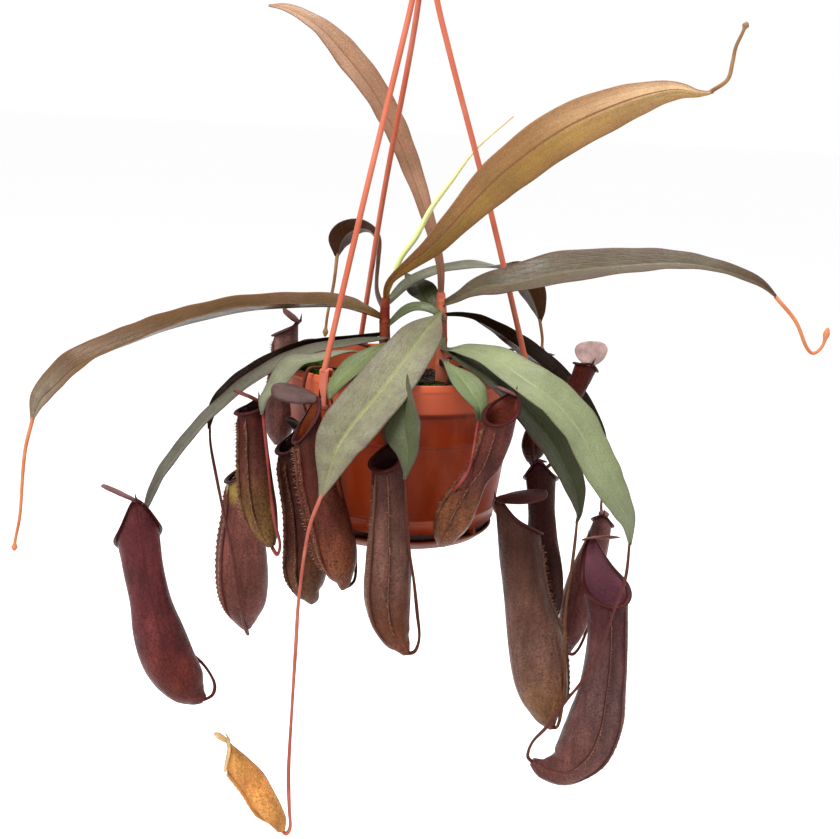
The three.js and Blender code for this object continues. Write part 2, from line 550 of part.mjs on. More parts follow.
const SHAPE = {
  pitcher_far_left: { front: [-0.4, 0.92, 0], slope: 0.9, lid: [-21, 3, 8], side: [-1.5, 9, -1.8], neck: 1 },
  pitcher_left_low: { front: [-0.95, -0.3, 0], slope: 0.6, lid: [-6, -10, 14] },
  pitcher_left_tall: { front: [-0.6, -0.8, 0], slope: 0.15, lid: [-13, -8, 7], side: [6, -6, -1] },
  pitcher_left_front: { front: [-0.9, -0.42, 0], slope: 1.15, lid: [-27, -3, 5], side: [0, 8.2, 3.4] },
  pitcher_left_mid: { front: [-0.7, -0.7, 0], slope: 0.5, lid: [-5, -6, 9] },
  pitcher_centre: { front: [-0.35, -0.94, 0], slope: 0.5, lid: [4, -8, 12] },
  pitcher_front_right: { front: [-0.6, -0.8, 0], slope: 0.7, lid: [-11, -4, 5] },
  pitcher_right_big: { front: [0.87, 0.5, 0], slope: 0.7, lid: [29, -6, 6], side: [0, 9.4, 1.3], neck: 0.7 },
  pitcher_right_behind: { front: [0.2, 0.98, 0], slope: 0.6, lid: [2, 9, -2], neck: 0.8 },
  pitcher_far_right: { front: [0.45, -0.9, 0], slope: 0.7, lid: [8, -18, 7.5], side: [11, 0, 1.3], neck: 1.3 },
  pitcher_far_right_back: { front: [0.3, 0.95, 0], slope: 0.6, lid: [1, 6, 2] },
  pitcher_upper_right: { front: [-0.2, 0.98, 0], slope: 0.2, lid: [-1, 1, 15], side: [9.8, 1, 0] },
  pitcher_upper_right_back: { front: [0, -1, 0], slope: 0.5, lid: [-2, -14, 3] },
  pitcher_upper_left: { front: [-1, 0.1, 0], slope: 0.5, lid: [-10, -4, 8] },
  pitcher_young: { front: [-0.75, -0.2, -0.6], slope: 0.8, lid: [-8, -1, 5] },
};
// The leaf that each tendril grows from.
const OWNER = {
  pitcher_far_left: "leaf_left_green", pitcher_left_low: "leaf_left_brown", pitcher_left_tall: "leaf_small_left",
  pitcher_left_front: "leaf_under_wide_left", pitcher_centre: "leaf_under_wide_right",
  pitcher_front_right: "leaf_small_front", pitcher_right_big: "leaf_under_front_right",
  pitcher_far_right: "leaf_big_front_right", pitcher_far_right_back: "leaf_long_brown",
  pitcher_young: "leaf_wide_front", bud_top_right: "leaf_top_right", bud_right: "leaf_right",
  bud_back_right: "leaf_back_right", bud_left: "leaf_long_left", bud_back_left: "leaf_back_left",
};

// Round the section: two narrow wings at the front, then the plain wall.
const WING_AT = rad(24);
const SECTION = [-1, 1].flatMap((h) => [-1, 0, 1].map((k) => [h * WING_AT + k * rad(6), k === 0 ? 1 : 0]))
  .concat([60, 100, 140, 180, 220, 260, 300].map((d) => [rad(d), 0]));

function pitcher(name) {
  const { front, slope, lid, side: wide, neck } = SHAPE[name];
  const line = spline(PITCHERS[name], 10);
  const pts = line.map(vec);
  const { tan } = carried(pts, V(1, 0, 0));
  const last = pts.length - 1;
  const f = pts.map((_, i) => {
    const v = vec(front);
    return v.addScaledVector(tan[i], -v.dot(tan[i])).normalize();
  });
  const ease = (i) => {
    const x = Math.min(Math.max((i / last - 0.62) / 0.38, 0), 1);
    return x * x;
  };
  const at = (i, a, r, lift) => {
    const side = tan[i].clone().cross(f[i]);
    const back = Math.max(0, -Math.cos(a)) ** 4;
    const up = (-slope * Math.cos(a) + (neck ?? 0.35) * back) * line[i][3] * ease(i) + lift;
    return pts[i].clone().addScaledVector(f[i], Math.cos(a) * r).addScaledVector(side, Math.sin(a) * r)
      .addScaledVector(tan[i], up);
  };
  const ring = (i, r, lift, wing) => SECTION.map(([a, w]) => at(i, a, r + w * wing, lift));
  const wingOf = (i) => (i > 2 && i < last ? 2.2 : 0);
  const loops = pts.map((_, i) => ring(i, line[i][3], 0, wingOf(i)));
  const r = line[last][3];
  loops.push(ring(last, r + 1.7, 0.2, 0), ring(last, r + 1.5, 1.5, 0), ring(last, r - PITCHER_T, 0.9, 0));
  for (let i = last - 2; i > 2 && line[i][3] > 3.4; i -= 2) {
    loops.push(ring(i, line[i][3] - PITCHER_T, 0, 0));
  }
  const apex = at(last, Math.PI, r, 0.8);
  const dir = vec(lid).normalize();
  const across = wide ? vec(wide) : tan[last].clone().cross(f[last]);
  across.addScaledVector(dir, -across.dot(dir)).normalize();
  const face = dir.clone().cross(across);
  const len = vec(lid).length();
  const half = wide ? vec(wide).length() : Math.min(len * 0.5, r * 1.25);
  const edge = (a, u) => apex.clone().addScaledVector(dir, (len / 2) * (1 - Math.cos(a)) - 1)
    .addScaledVector(across, half * Math.sin(a) * (1 - 0.25 * Math.cos(a))).addScaledVector(face, u);
  const turn = Array.from({ length: 8 }, (_, j) => (2 * Math.PI * j) / 8);
  return solid(skin(loops)).add(solid(skin([turn.map((a) => edge(a, -0.4)), turn.map((a) => edge(a, 0.4))])));
}

function tendril(name) {
  const bud = name.startsWith("bud");
  const foot = bud ? [] : PITCHERS[name].slice(0, 2);
  const end = bud ? [] : [foot[0].slice(0, 3), foot[0].slice(0, 3).map((v, k) => 0.75 * v + 0.25 * foot[1][k])];
  const rows = TENDRILS[name].concat(end);
  const line = spline(rows, bud ? 2 * rows.length - 2 : Math.round(1.25 * rows.length));
  const n = line.length - 1;
  return tube(line, line.map((_, i) => {
    if (bud) return i > n - 3 && n > 5 ? [2.1, 2.3, 1.2][i - n + 2] : 1.3;
    return i < 2 ? 1.1 : 1.3;
  }), 4);
}

// ---- put together -------------------------------------------------------------------
const placed = [];
Object.keys(LEAVES).forEach((name) => {
  let s = blade(name, 0).subtract(stemRoom);
  const box0 = s.boundingBox();
  placed.forEach((other) => {
    const b = other.room.boundingBox();
    const apart = [0, 1, 2].some((k) => b.min[k] > box0.max[k] || b.max[k] < box0.min[k]);
    if (!apart) s = s.subtract(other.room);
  });
  s = biggest(s);
  placed.push({ name, room: blade(name, GAP) });
  add(name, s, LEAF_COLOUR[name] || "green");
});
add("leaf_new_spear", biggest(tube(spline([[-14, 1, 39], [-11, 3, 46], [-5, 6, 64], [4, 8, 78], [12, 8, 95], [24, 8, 113], [38, 8, 133], [59, 6, 153]], 9), [1, 1.2, 1.5, 1.7, 1.7, 1.6, 1.4, 1.1, 0.7, 0.4], 6)
  .subtract(stemRoom).subtract(blade("leaf_top_right", GAP))), "spear");
const freed = (name, s) => biggest((OWNER[name] ? s.subtract(blade(OWNER[name], GAP)) : s).subtract(stemRoom));
Object.keys(PITCHERS).forEach((name) => {
  const s = freed(name, pitcher(name).add(tendril(name)));
  add(name, s, name === "pitcher_young" ? "amber" : "maroon");
});
Object.keys(TENDRILS).filter((n) => n.startsWith("bud")).forEach((name) => {
  add(name.replace("bud", "tendril"), freed(name, tendril(name)), "pink");
});

export default root;
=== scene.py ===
# Hanging pitcher plant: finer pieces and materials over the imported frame.
# Pieces are laid out in millimetres from the centre of the pot's rim; Build.pt turns them into metres in
# the row frame, whose origin is the point where the hook bears.
import json
from math import cos, exp, pi, radians as rad, sin
import bmesh
import bpy
from mathutils import Matrix, Vector, noise

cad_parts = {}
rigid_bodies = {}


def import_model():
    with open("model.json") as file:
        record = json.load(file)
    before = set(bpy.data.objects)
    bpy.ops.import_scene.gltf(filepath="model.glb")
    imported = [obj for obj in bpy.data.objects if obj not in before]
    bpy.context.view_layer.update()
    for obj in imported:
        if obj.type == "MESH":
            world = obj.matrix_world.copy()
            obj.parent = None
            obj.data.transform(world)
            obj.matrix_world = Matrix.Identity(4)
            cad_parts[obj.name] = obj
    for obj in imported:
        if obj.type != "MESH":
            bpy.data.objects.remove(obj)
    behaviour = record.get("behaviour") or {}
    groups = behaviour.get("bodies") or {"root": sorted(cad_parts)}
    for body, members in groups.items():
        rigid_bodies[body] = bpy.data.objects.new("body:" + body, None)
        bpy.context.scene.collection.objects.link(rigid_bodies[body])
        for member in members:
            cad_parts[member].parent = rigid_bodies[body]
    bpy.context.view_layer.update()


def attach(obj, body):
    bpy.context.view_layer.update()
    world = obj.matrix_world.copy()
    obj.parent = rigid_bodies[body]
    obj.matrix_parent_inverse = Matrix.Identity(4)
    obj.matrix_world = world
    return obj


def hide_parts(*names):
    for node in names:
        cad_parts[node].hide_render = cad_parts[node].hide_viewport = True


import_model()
TAU = 2 * pi

# ---- layout -------------------------------------------------------------------------
BEAR_Z = 282.5
RIM_R, RIM_BAND = 75, 17
WALL_TOP_R, WALL_LOW_R, WALL_LOW_Z, WALL_T = 71, 61, -93, 1.8
FOOT_R, POT_FLOOR_Z = 57.5, -99
SAUCER_R, SAUCER_TOP_Z, SAUCER_LOW_Z = 60, -97.5, -104
SOIL_Z, HUB_Z, ROD_R = -13, 248, 1.75
# turn round the pot in degrees, how far the rod leans out, how far aside
RODS = {"right": (-6.3, 1.4, 0), "back": (113.7, 0, -1.9), "front": (233.7, 0, 0)}
# x, y, z, radius
STEMS = {
    "left": [[-9, -3, -40, 3.6], [-10, -2, -12, 3.6], [-12, -1, 10, 3.5], [-13, 0, 28, 3.2],
             [-13, 1, 40, 2.6]],
    "right": [[24, 0, -40, 3.8], [24, 1, -12, 3.8], [23, 3, 12, 3.6], [22, 5, 32, 3.3], [21, 8, 44, 2.6]],
}
# midrib x, y, z, half width, turn in degrees
LEAVES = {
    "top_left": [[21, 8, 41, 2, 30], [19, 14, 62, 3, 30], [9, 28, 91, 6, 40], [-3, 44, 119, 9, 40],
        [-15, 51, 143, 11, 40], [-28, 56, 164, 11, 35], [-47, 60, 186, 11, 30], [-64, 62, 202, 8, 35],
        [-83, 62, 212, 5, 40], [-97, 62, 214, 1, 40]],
    "top_right": [[-13, 1, 37, 2, 35], [-10, -4, 52, 3, 35], [13, -12, 74, 8, 30], [35, -20, 100, 11, 20],
        [55, -26, 122, 15, 20], [86, -32, 147, 15, 10], [119, -36, 164, 13, 25], [145, -38, 172, 8, 35],
        [161, -40, 171, 3, 40], [169, -40, 172, 1, 40]],
    "right": [[22, 6, 37, 2, 65], [31, -6, 43, 4, 65], [45, -16, 52, 8, 60], [62, -25, 56, 12, 50],
        [93, -28, 65, 13, 55], [134, -28, 71, 12, 45], [162, -26, 73, 9, 45], [187, -24, 70, 7, 45],
        [210, -20, 63, 4, 60], [223, -18, 54, 1, 60]],
    "back_right": [[-13, 1, 35, 2, 5], [1, 20, 48, 5, 5], [20, 34, 55, 7, 0], [44, 46, 58, 9, 0],
        [66, 56, 56, 13, -30], [78, 58, 45, 13, -40], [85, 58, 32, 8, -35], [88, 58, 22, 1, -35]],
    "small_back": [[22, 5, 27, 2, 10], [15, 20, 35, 8, 10], [8, 28, 43, 10, -5], [2, 36, 48, 5, 0],
        [-2, 42, 51, 1, 0]],
    "small_centre": [[-12, -1, 22, 2, 35], [-2, -4, 32, 5, 35], [7, -6, 36, 7, 20], [17, -6, 34, 5, 25],
        [25, -6, 28, 1, 25]],
    "long_brown": [[22, 4, 31, 2, -25], [35, 6, 31, 4, -25], [46, 10, 28, 7, -20], [59, 14, 21, 9, -25],
        [71, 18, 13, 10, -30], [86, 20, 2, 11, -30], [101, 20, -10, 10, -30], [115, 18, -24, 8, -35],
        [127, 16, -40, 4, -35], [132, 14, -50, 1, -35]],
    "long_left": [[-13, 0, 27, 2, -25], [-27, -4, 32, 6, -25], [-42, -4, 35, 9, -20],
        [-68, -6, 34, 11, -15], [-97, -10, 31, 12, -15], [-125, -14, 24, 12, -15], [-147, -17, 17, 12, -20],
        [-166, -20, 9, 12, -25], [-184, -22, 1, 11, -30], [-199, -24, -8, 10, -45],
        [-211, -24, -20, 9, -50], [-220, -24, -30, 6, -65], [-225, -24, -43, 1, -65]],
    "big_front_right": [[23, 3, 18, 2, 20], [25, -18, 13, 2, 20], [35, -34, 16, 6, 20],
        [52, -58, 16, 11, 15], [73, -76, 6, 14, 15], [87, -80, -3, 15, 15], [101, -84, -17, 15, 15],
        [110, -86, -32, 14, 20], [119, -86, -46, 13, 20], [127, -84, -59, 10, 20], [134, -82, -71, 6, 25],
        [137, -80, -86, 1, 25]],
    "under_front_right": [[24, 2, 9, 2, 0], [26, -24, 13, 2, 0], [36, -42, 10, 6, 0], [52, -63, 4, 9, 0],
        [66, -67, -6, 13, 5], [77, -69, -17, 14, 10], [89, -69, -30, 14, 15], [98, -67, -45, 12, 15],
        [105, -65, -60, 8, 20], [108, -64, -72, 3, 25], [107, -64, -79, 1, 25]],
    "small_front": [[24, 1, 0, 2, 0], [25, -22, 7, 3, 0], [26, -46, 9, 2, 0], [34, -72, 6, 8, 0],
        [40, -82, 0, 10, -5], [45, -86, -8, 6, -10], [45, -87, -17, 1, -10]],
    "wide_front": [[22, 5, 33, 2, -15], [20, -12, 32, 2, -15], [12, -34, 25, 11, -15],
        [3, -56, 15, 14, -20], [-11, -82, -2, 16, -15], [-23, -94, -16, 16, -15], [-30, -99, -26, 15, -15],
        [-34, -103, -34, 12, -15], [-38, -107, -49, 5, -25], [-41, -108, -59, 1, -25]],
    "under_wide_left": [[-11, -2, 9, 2, -15], [-11, -30, 16, 2, -15], [-24, -50, 9, 7, -15],
        [-31, -66, 4, 7, -10], [-37, -76, -2, 5, -5], [-40, -80, -9, 1, -5]],
    "under_wide_right": [[-10, -2, 1, 2, 20], [-4, -22, 7, 3, 30], [1, -46, 10, 2, 40],
        [2, -70, 4.5, 2.5, 40], [2, -84, -5, 6.5, 30], [3, -92, -20, 11, 25], [6, -98, -32, 8, 35],
        [6, -100, -43, 3, 45], [5, -101, -48, 1, 45]],
    "left_green": [[-12, -1, 15, 2, -20], [-13, -8, 16, 2, -20], [-33, -14, 13, 5, -20],
        [-61, -24, 7, 8, -15], [-88, -32, -8, 9, -10], [-113, -35, -30, 9, -10], [-130, -36, -51, 8, -15],
        [-143, -35, -70, 7, -20], [-151, -33, -87, 4, -30], [-154, -32, -96, 1, -30]],
    "left_brown": [[-12, -1, 18, 2, 35], [-43, -4, 12, 5, 35], [-66, -10, 7, 8, 30], [-87, -16, -4, 9, 35],
        [-102, -20, -15, 9, 35], [-113, -22, -28, 6, 40], [-117, -22, -43, 1, 40]],
    "small_left": [[-11, -2, 3, 2, -10], [-32, -26, 10, 2, -10], [-50, -36, 6.5, 7, -10],
        [-64, -45, 4, 9, -10], [-73, -57, -8, 7, -5], [-78, -66, -14, 5, 10], [-79, -70, -22, 1, 10]],
    "back_left": [[-13, 1, 31, 2, 115], [-20, 30, 41, 2, 115], [-21, 60, 56, 2, 125], [-22, 80, 68, 3, 110],
        [-29, 90, 75, 5, 75], [-40, 92, 74, 9, 70], [-48, 92, 66, 10, 75], [-50, 90, 55, 2, 65]],
}
STEEP = ("top_left", "top_right")
# depth of the fold along the midrib, per half width
FOLD, DEEPER_FOLD = 0.16, {"long_left": 0.4, "right": 0.28}
# rolled new leaf: x, y, z, and its radius on the way up
SPEAR = [[-14, 1, 39], [-11, 3, 46], [-5, 6, 64], [4, 8, 78], [12, 8, 95], [24, 8, 113], [38, 8, 133],
         [59, 6, 153]]
SPEAR_R = [1, 1.2, 1.5, 1.7, 1.7, 1.6, 1.4, 1.1, 0.7, 0.35]
# centre line from the foot to the mouth: x, y, z, radius
PITCHERS = {
    "far_left": [[-111, -60, -204, 2.7], [-116, -60, -201, 7.3], [-123, -60, -194, 13.1],
        [-133, -60, -179, 15.8], [-140, -60, -160, 14.8], [-145, -60, -140, 12.3], [-149, -60, -120, 12],
        [-152, -60, -102, 12.8]],
    "left_low": [[-91, -20, -172, 2.9], [-92, -20, -166, 7.6], [-93, -20, -157, 13], [-94, -20, -141, 15.7],
        [-95, -20, -117, 14.7], [-96, -20, -92, 10.6], [-97, -20, -71, 8.7]],
    "left_tall": [[-73, -56, -105, 2.7], [-76, -56, -97, 7.2], [-80, -56, -84, 9.8], [-83, -56, -68, 10.1],
        [-85, -56, -50, 9.1], [-86, -56, -35, 8.2], [-88, -56, -23, 7.6]],
    "left_front": [[-28, -80, -121, 2], [-28, -80, -116, 5.2], [-30, -80, -109, 9.3], [-33, -80, -97, 12.2],
        [-38, -80, -80, 12.1], [-45, -80, -59, 10.3], [-49, -80, -39, 9.1], [-52, -80, -24, 8.5]],
    "left_mid": [[-48, -52, -141, 2.1], [-49, -52, -137, 5.5], [-51, -52, -131, 9.4],
        [-52, -52, -119, 12.4], [-53, -52, -102, 11.7], [-56, -51, -83, 9.9], [-61, -50, -62, 8.6],
        [-64, -50, -44, 8]],
    "centre": [[11, -86, -157, 2.3], [8, -86, -152, 5.3], [4, -86, -146, 8.8], [0, -86, -134, 12.2],
        [-2, -86, -119, 13.6], [-2, -86, -100, 13.3], [-3, -86, -82, 11.5], [-4, -86, -62, 9.7],
        [-6, -86, -42, 8.5]],
    "front_right": [[28, -77, -92, 2.9], [30, -79, -85, 7.5], [34, -81, -74, 10.7], [39, -84, -61, 9.7],
        [45, -88, -48, 7.7], [51, -91, -37, 7.9], [55, -93, -23, 8.7], [57, -94, -9, 8.9]],
    "right_big": [[102, -62, -210, 2.1], [100, -62, -206, 5.2], [98, -62, -200, 9.4], [96, -62, -190, 14],
        [92, -62, -174, 16.9], [88, -62, -154, 16.8], [81, -62, -129, 13.2], [76, -62, -104, 12.5],
        [73, -62, -82, 12.7]],
    "right_behind": [[98, -34, -158, 2.5], [97, -34, -143, 8.1], [95, -34, -125, 10.5],
        [91, -34, -103, 9.8], [89, -34, -81, 8.2], [87, -34, -61, 9.1]],
    "far_right": [[91, -66, -231, 2.7], [99, -66, -235, 6.7], [111, -66, -233, 11.9],
        [122, -66, -219, 16.4], [128, -66, -200, 16.7], [130, -66, -181, 14.2], [131, -66, -160, 12.6],
        [130, -66, -139, 11.9], [127, -66, -117, 13.1]],
    "far_right_back": [[112, -24, -175, 2.5], [113, -24, -165, 6.9], [116, -24, -147, 10.4],
        [119, -24, -127, 10], [125, -24, -105, 7.8], [128, -24, -90, 5.9]],
    "upper_right": [[82, -8, -57, 2.5], [83, -8, -51, 6.6], [85, -8, -42, 8.7], [92, -8, -31, 8.7],
        [101, -8, -19, 7.1], [108, -8, -7, 6.2], [112, -8, 4, 6.8]],
    "upper_right_back": [[97, 42, -57, 2], [96, 42, -49, 5.3], [95, 42, -35, 7.2], [94, 42, -19, 5.9],
        [92, 42, -5, 6.5]],
    "upper_left": [[-80, 34, -64, 3], [-80, 34, -55, 8.5], [-79, 34, -41, 10.8], [-78, 34, -24, 9.4],
        [-77, 34, -5, 8.1], [-77, 34, 11, 7.7]],
    "young": [[-57, -106, -263, 2.6], [-60, -106, -256, 5.6], [-67, -106, -246, 7.6],
        [-74, -106, -234, 7.9], [-82, -106, -225, 7.3], [-89, -106, -218, 6.1]],
}
# side of the wings, fall of the mouth, lid's direction and length, its half width, rise of the neck
SHAPE = {
    "far_left": ((-0.4, 0.92, 0), 0.9, (-21, 3, 8), (-1.5, 9, -1.8), 1),
    "left_low": ((-0.95, -0.3, 0), 0.6, (-6, -10, 14), None, 0.35),
    "left_tall": ((-0.6, -0.8, 0), 0.15, (-13, -8, 7), (6, -6, -1), 0.35),
    "left_front": ((-0.9, -0.42, 0), 1.15, (-27, -3, 5), (0, 8.2, 3.4), 0.35),
    "left_mid": ((-0.7, -0.7, 0), 0.5, (-5, -6, 9), None, 0.35),
    "centre": ((-0.35, -0.94, 0), 0.5, (4, -8, 12), None, 0.35),
    "front_right": ((-0.6, -0.8, 0), 0.7, (-11, -4, 5), None, 0.35),
    "right_big": ((0.87, 0.5, 0), 0.7, (29, -6, 6), (0, 9.4, 1.3), 0.7),
    "right_behind": ((0.2, 0.98, 0), 0.6, (2, 9, -2), None, 0.8),
    "far_right": ((0.45, -0.9, 0), 0.7, (8, -18, 7.5), (11, 0, 1.3), 1.3),
    "far_right_back": ((0.3, 0.95, 0), 0.6, (1, 6, 2), None, 0.35),
    "upper_right": ((-0.2, 0.98, 0), 0.2, (-1, 1, 15), (9.8, 1, 0), 0.35),
    "upper_right_back": ((0, -1, 0), 0.5, (-2, -14, 3), None, 0.35),
    "upper_left": ((-1, 0.1, 0), 0.5, (-10, -4, 8), None, 0.35),
    "young": ((-0.75, -0.2, -0.6), 0.8, (-8, -1, 5), None, 0.35),
}
# from the leaf's tip, or a leafstalk, down to the pitcher's foot
TENDRILS = {
    "far_left": [[-153.4, -32.2, -94.1], [-149, -38, -114], [-144, -40, -142], [-136, -40, -168],
        [-123, -42, -181], [-113, -48, -187], [-106, -54, -195], [-106, -58, -201]],
    "left_low": [[-116.5, -22, -41.1], [-115, -26, -53], [-110, -32, -72], [-103, -40, -97],
        [-98, -42, -117], [-93, -40, -149], [-92, -30, -165], [-90, -22, -175]],
    "left_tall": [[-78.8, -69.1, -20.2], [-76, -71, -40], [-73, -71, -65], [-70, -71, -85],
        [-67, -66, -100], [-69, -60, -109]],
    "left_front": [[-39.3, -79.1, -7.4], [-36, -69, -26], [-33, -64, -61], [-25, -63, -91],
        [-22, -64, -108], [-22, -71, -119]],
    "left_mid": [[-11, -3, -6], [-25, -24, -2], [-39, -41, 2], [-50, -52, 4], [-55, -57, 2],
        [-57, -57, -14], [-54, -50, -30], [-54, -46, -60], [-51, -43, -100], [-47, -43, -126],
        [-45, -47, -139]],
    "centre": [[5.4, -100.6, -46.1], [7, -100, -66], [9, -94, -88], [13, -90, -110], [16, -87, -131],
        [18, -86, -146], [16, -86, -155]],
    "front_right": [[45, -86.8, -15], [43, -93, -30], [41, -98, -40], [37, -97, -48], [32, -87, -59],
        [31, -73, -71], [30, -67, -83], [29, -70, -90]],
    "right_big": [[107.3, -64, -77], [107, -64, -92], [106, -64, -111], [104, -68, -132], [104, -75, -148],
        [106, -74, -173], [106, -70, -193], [105, -65, -207]],
    "right_behind": [[24, 1, -2], [45, -14, 3], [66, -22, 4], [76, -26, 1], [80, -25, -14], [82, -18, -44],
        [86, -16, -80], [90, -15, -120], [95, -17, -152], [99, -26, -163]],
    "far_right": [[136.6, -80.3, -84.1], [135, -86, -104], [129, -90, -124], [124, -90, -145],
        [116, -90, -164], [106, -86, -182], [97, -78, -202], [90, -70, -216], [88, -66, -227]],
    "far_right_back": [[131.1, 14.4, -48.2], [132, 10, -64], [130, 2, -77], [129, -8, -87], [134, -8, -103],
        [133, -6, -125], [129, -8, -148], [123, -16, -169], [117, -22, -177]],
    "upper_right": [[24, 2, 3], [50, 4, 8], [72, 4, 6], [88, 2, 0], [99, 2, -16], [104, 6, -32],
        [102, 8, -51], [95, 4, -62], [87, -4, -63]],
    "upper_right_back": [[23, 4, 7], [45, 26, 9], [62, 38, 5], [75, 44, 4], [83, 50, -10], [91, 54, -30],
        [98, 54, -50], [101, 48, -61]],
    "upper_left": [[-12, 0, 7], [-35, 16, 9], [-56, 30, 7], [-68, 37, 3.5], [-74, 44, -6], [-75, 51, -24],
        [-75, 52, -44], [-76, 47, -60], [-79, 38, -67]],
    "young": [[-40.4, -107.8, -57.1], [-47, -108, -79], [-51, -108, -116], [-52, -108, -148],
        [-53, -107, -181], [-54, -106, -223], [-53, -106, -247], [-52, -106, -260], [-54, -106, -265]],
}
BARE_TENDRILS = {
    "top_right": [[167, -40, 171.8], [176, -40, 179], [178, -40, 189], [179, -40, 197], [182, -40, 205],
        [184, -40, 211]],
    "right": [[221.4, -18.3, 55.1], [235, -18, 41], [243, -18, 26], [248, -18, 22], [253, -18, 27],
        [255, -18, 38]],
    "back_right": [[87.4, 58, 23.9], [88, 58, 21], [90, 58, 11], [90, 56, 2]],
    "left": [[-224.3, -24, -41.1], [-229, -24, -60], [-231, -24, -77], [-233, -24, -103], [-236, -24, -119],
        [-237, -24, -127]],
    "back_left": [[-49.6, 90.4, 56.9], [-51, 86, 37], [-54, 80, 17], [-55, 76, 2]],
}
# round the rim: turn in degrees, width, height
CUSHION = [[148, 5, 4], [160, 11, 8], [174, 11, 8.5], [187, 9, 6.5], [200, 9, 5.5], [214, 8, 3.5],
           [228, 8, 4], [242, 7, 3], [256, 7, 2.5], [268, 7, 5], [280, 8, 7], [292, 8, 6.5], [304, 7, 3]]
CUSHION_R, SHADED_FROM = 65, 262
# where the wings stand, as a turn from their middle, and how the skins mark that line
WING_TURN, WING_MARK = rad(24), 0.42
# painted shade lines on the pot, under the rim and under the two beads: height, half width, strength
SHADE_LINES = ((-19.4, 2.2, 0.8), (-38.4, 0.9, 0.6), (-85.7, 0.9, 0.6))

# ---- colours, in thousandths of linear light ----------------------------------------
# base, middle, tip, midrib, margin, underside, and how mottled the blade is; the edge is as the margin,
# unless EDGE names it
LEAF_LOOK = {
    "top_left": ((130, 50, 28), (190, 95, 52), (290, 180, 110), (130, 55, 25), (130, 55, 30), (150, 70, 40),
        0.25),
    # top_right's golden outer third and tip: partly the young leaf's tone, partly a painted highlight
    "top_right": ((170, 50, 10), (310, 160, 58), (625, 400, 210), (210, 100, 30), (200, 80, 35),
        (150, 65, 30), 0.2),
    "right": ((70, 58, 30), (75, 59, 37), (60, 25, 11), (105, 95, 50), (60, 35, 25), (43, 15, 5), 0.5),
    "back_right": ((75, 80, 45), (80, 80, 50), (50, 20, 7), (100, 100, 50), (50, 25, 15), (40, 14, 3), 0.3),
    "small_back": ((30, 35, 10), (30, 33, 7), (35, 35, 10), (50, 55, 15), (25, 20, 7), (20, 15, 5), 0.2),
    "small_centre": ((60, 75, 30), (65, 80, 35), (60, 70, 30), (90, 100, 40), (40, 40, 15), (15, 15, 5),
        0.2),
    "long_brown": ((50, 45, 25), (50, 45, 25), (50, 35, 20), (30, 20, 10), (25, 15, 7), (18, 9, 3), 0.2),
    "long_left": ((60, 30, 4), (50, 22, 3), (210, 185, 140), (70, 45, 10), (80, 35, 10), (43, 28, 6), 0.3),
    "big_front_right": ((85, 100, 43), (170, 195, 100), (145, 160, 100), (200, 220, 110), (110, 115, 60),
        (40, 30, 15), 0.22),
    "under_front_right": ((40, 48, 18), (43, 50, 19), (35, 35, 15), (60, 70, 30), (50, 25, 15), (25, 15, 7),
        0.2),
    "small_front": ((90, 110, 50), (120, 150, 65), (110, 135, 60), (150, 175, 75), (70, 75, 35),
        (35, 25, 15), 0.15),
    "wide_front": ((135, 125, 55), (145, 142, 83), (185, 165, 105), (170, 180, 65), (85, 62, 50),
        (45, 25, 15), 0.45),
    "under_wide_left": ((70, 87, 30), (80, 100, 34), (80, 87, 37), (110, 130, 45), (55, 55, 25),
        (30, 25, 15), 0.2),
    "under_wide_right": ((50, 60, 25), (55, 65, 29), (60, 60, 35), (75, 85, 35), (45, 35, 25), (25, 15, 10),
        0.3),
    "left_green": ((75, 77, 43), (83, 77, 55), (55, 45, 33), (100, 95, 60), (45, 30, 20), (35, 25, 15),
        0.3),
    "left_brown": ((35, 30, 15), (37, 30, 18), (35, 25, 18), (25, 13, 6), (20, 10, 5), (18, 7, 3), 0.25),
    "small_left": ((100, 115, 60), (120, 125, 75), (95, 95, 65), (140, 140, 80), (65, 55, 35), (35, 25, 15),
        0.25),
    "back_left": ((60, 30, 15), (50, 18, 6), (45, 15, 5), (35, 13, 5), (30, 10, 4), (43, 13, 4), 0.3),
}
EDGE = {"top_left": (120, 50, 25), "top_right": (200, 90, 30), "right": (100, 40, 20),
        "long_left": (200, 75, 20)}
# a colour for the outer third; top_right's is partly a painted highlight
OUTER_THIRD = {"top_left": (250, 140, 80), "top_right": (725, 460, 260), "long_left": (120, 70, 40)}
# painted shade: the half of the blade on one side of the midrib, folded away from the light, darker and olive
SHADED_HALF = {"top_right": (230, 135, 25)}
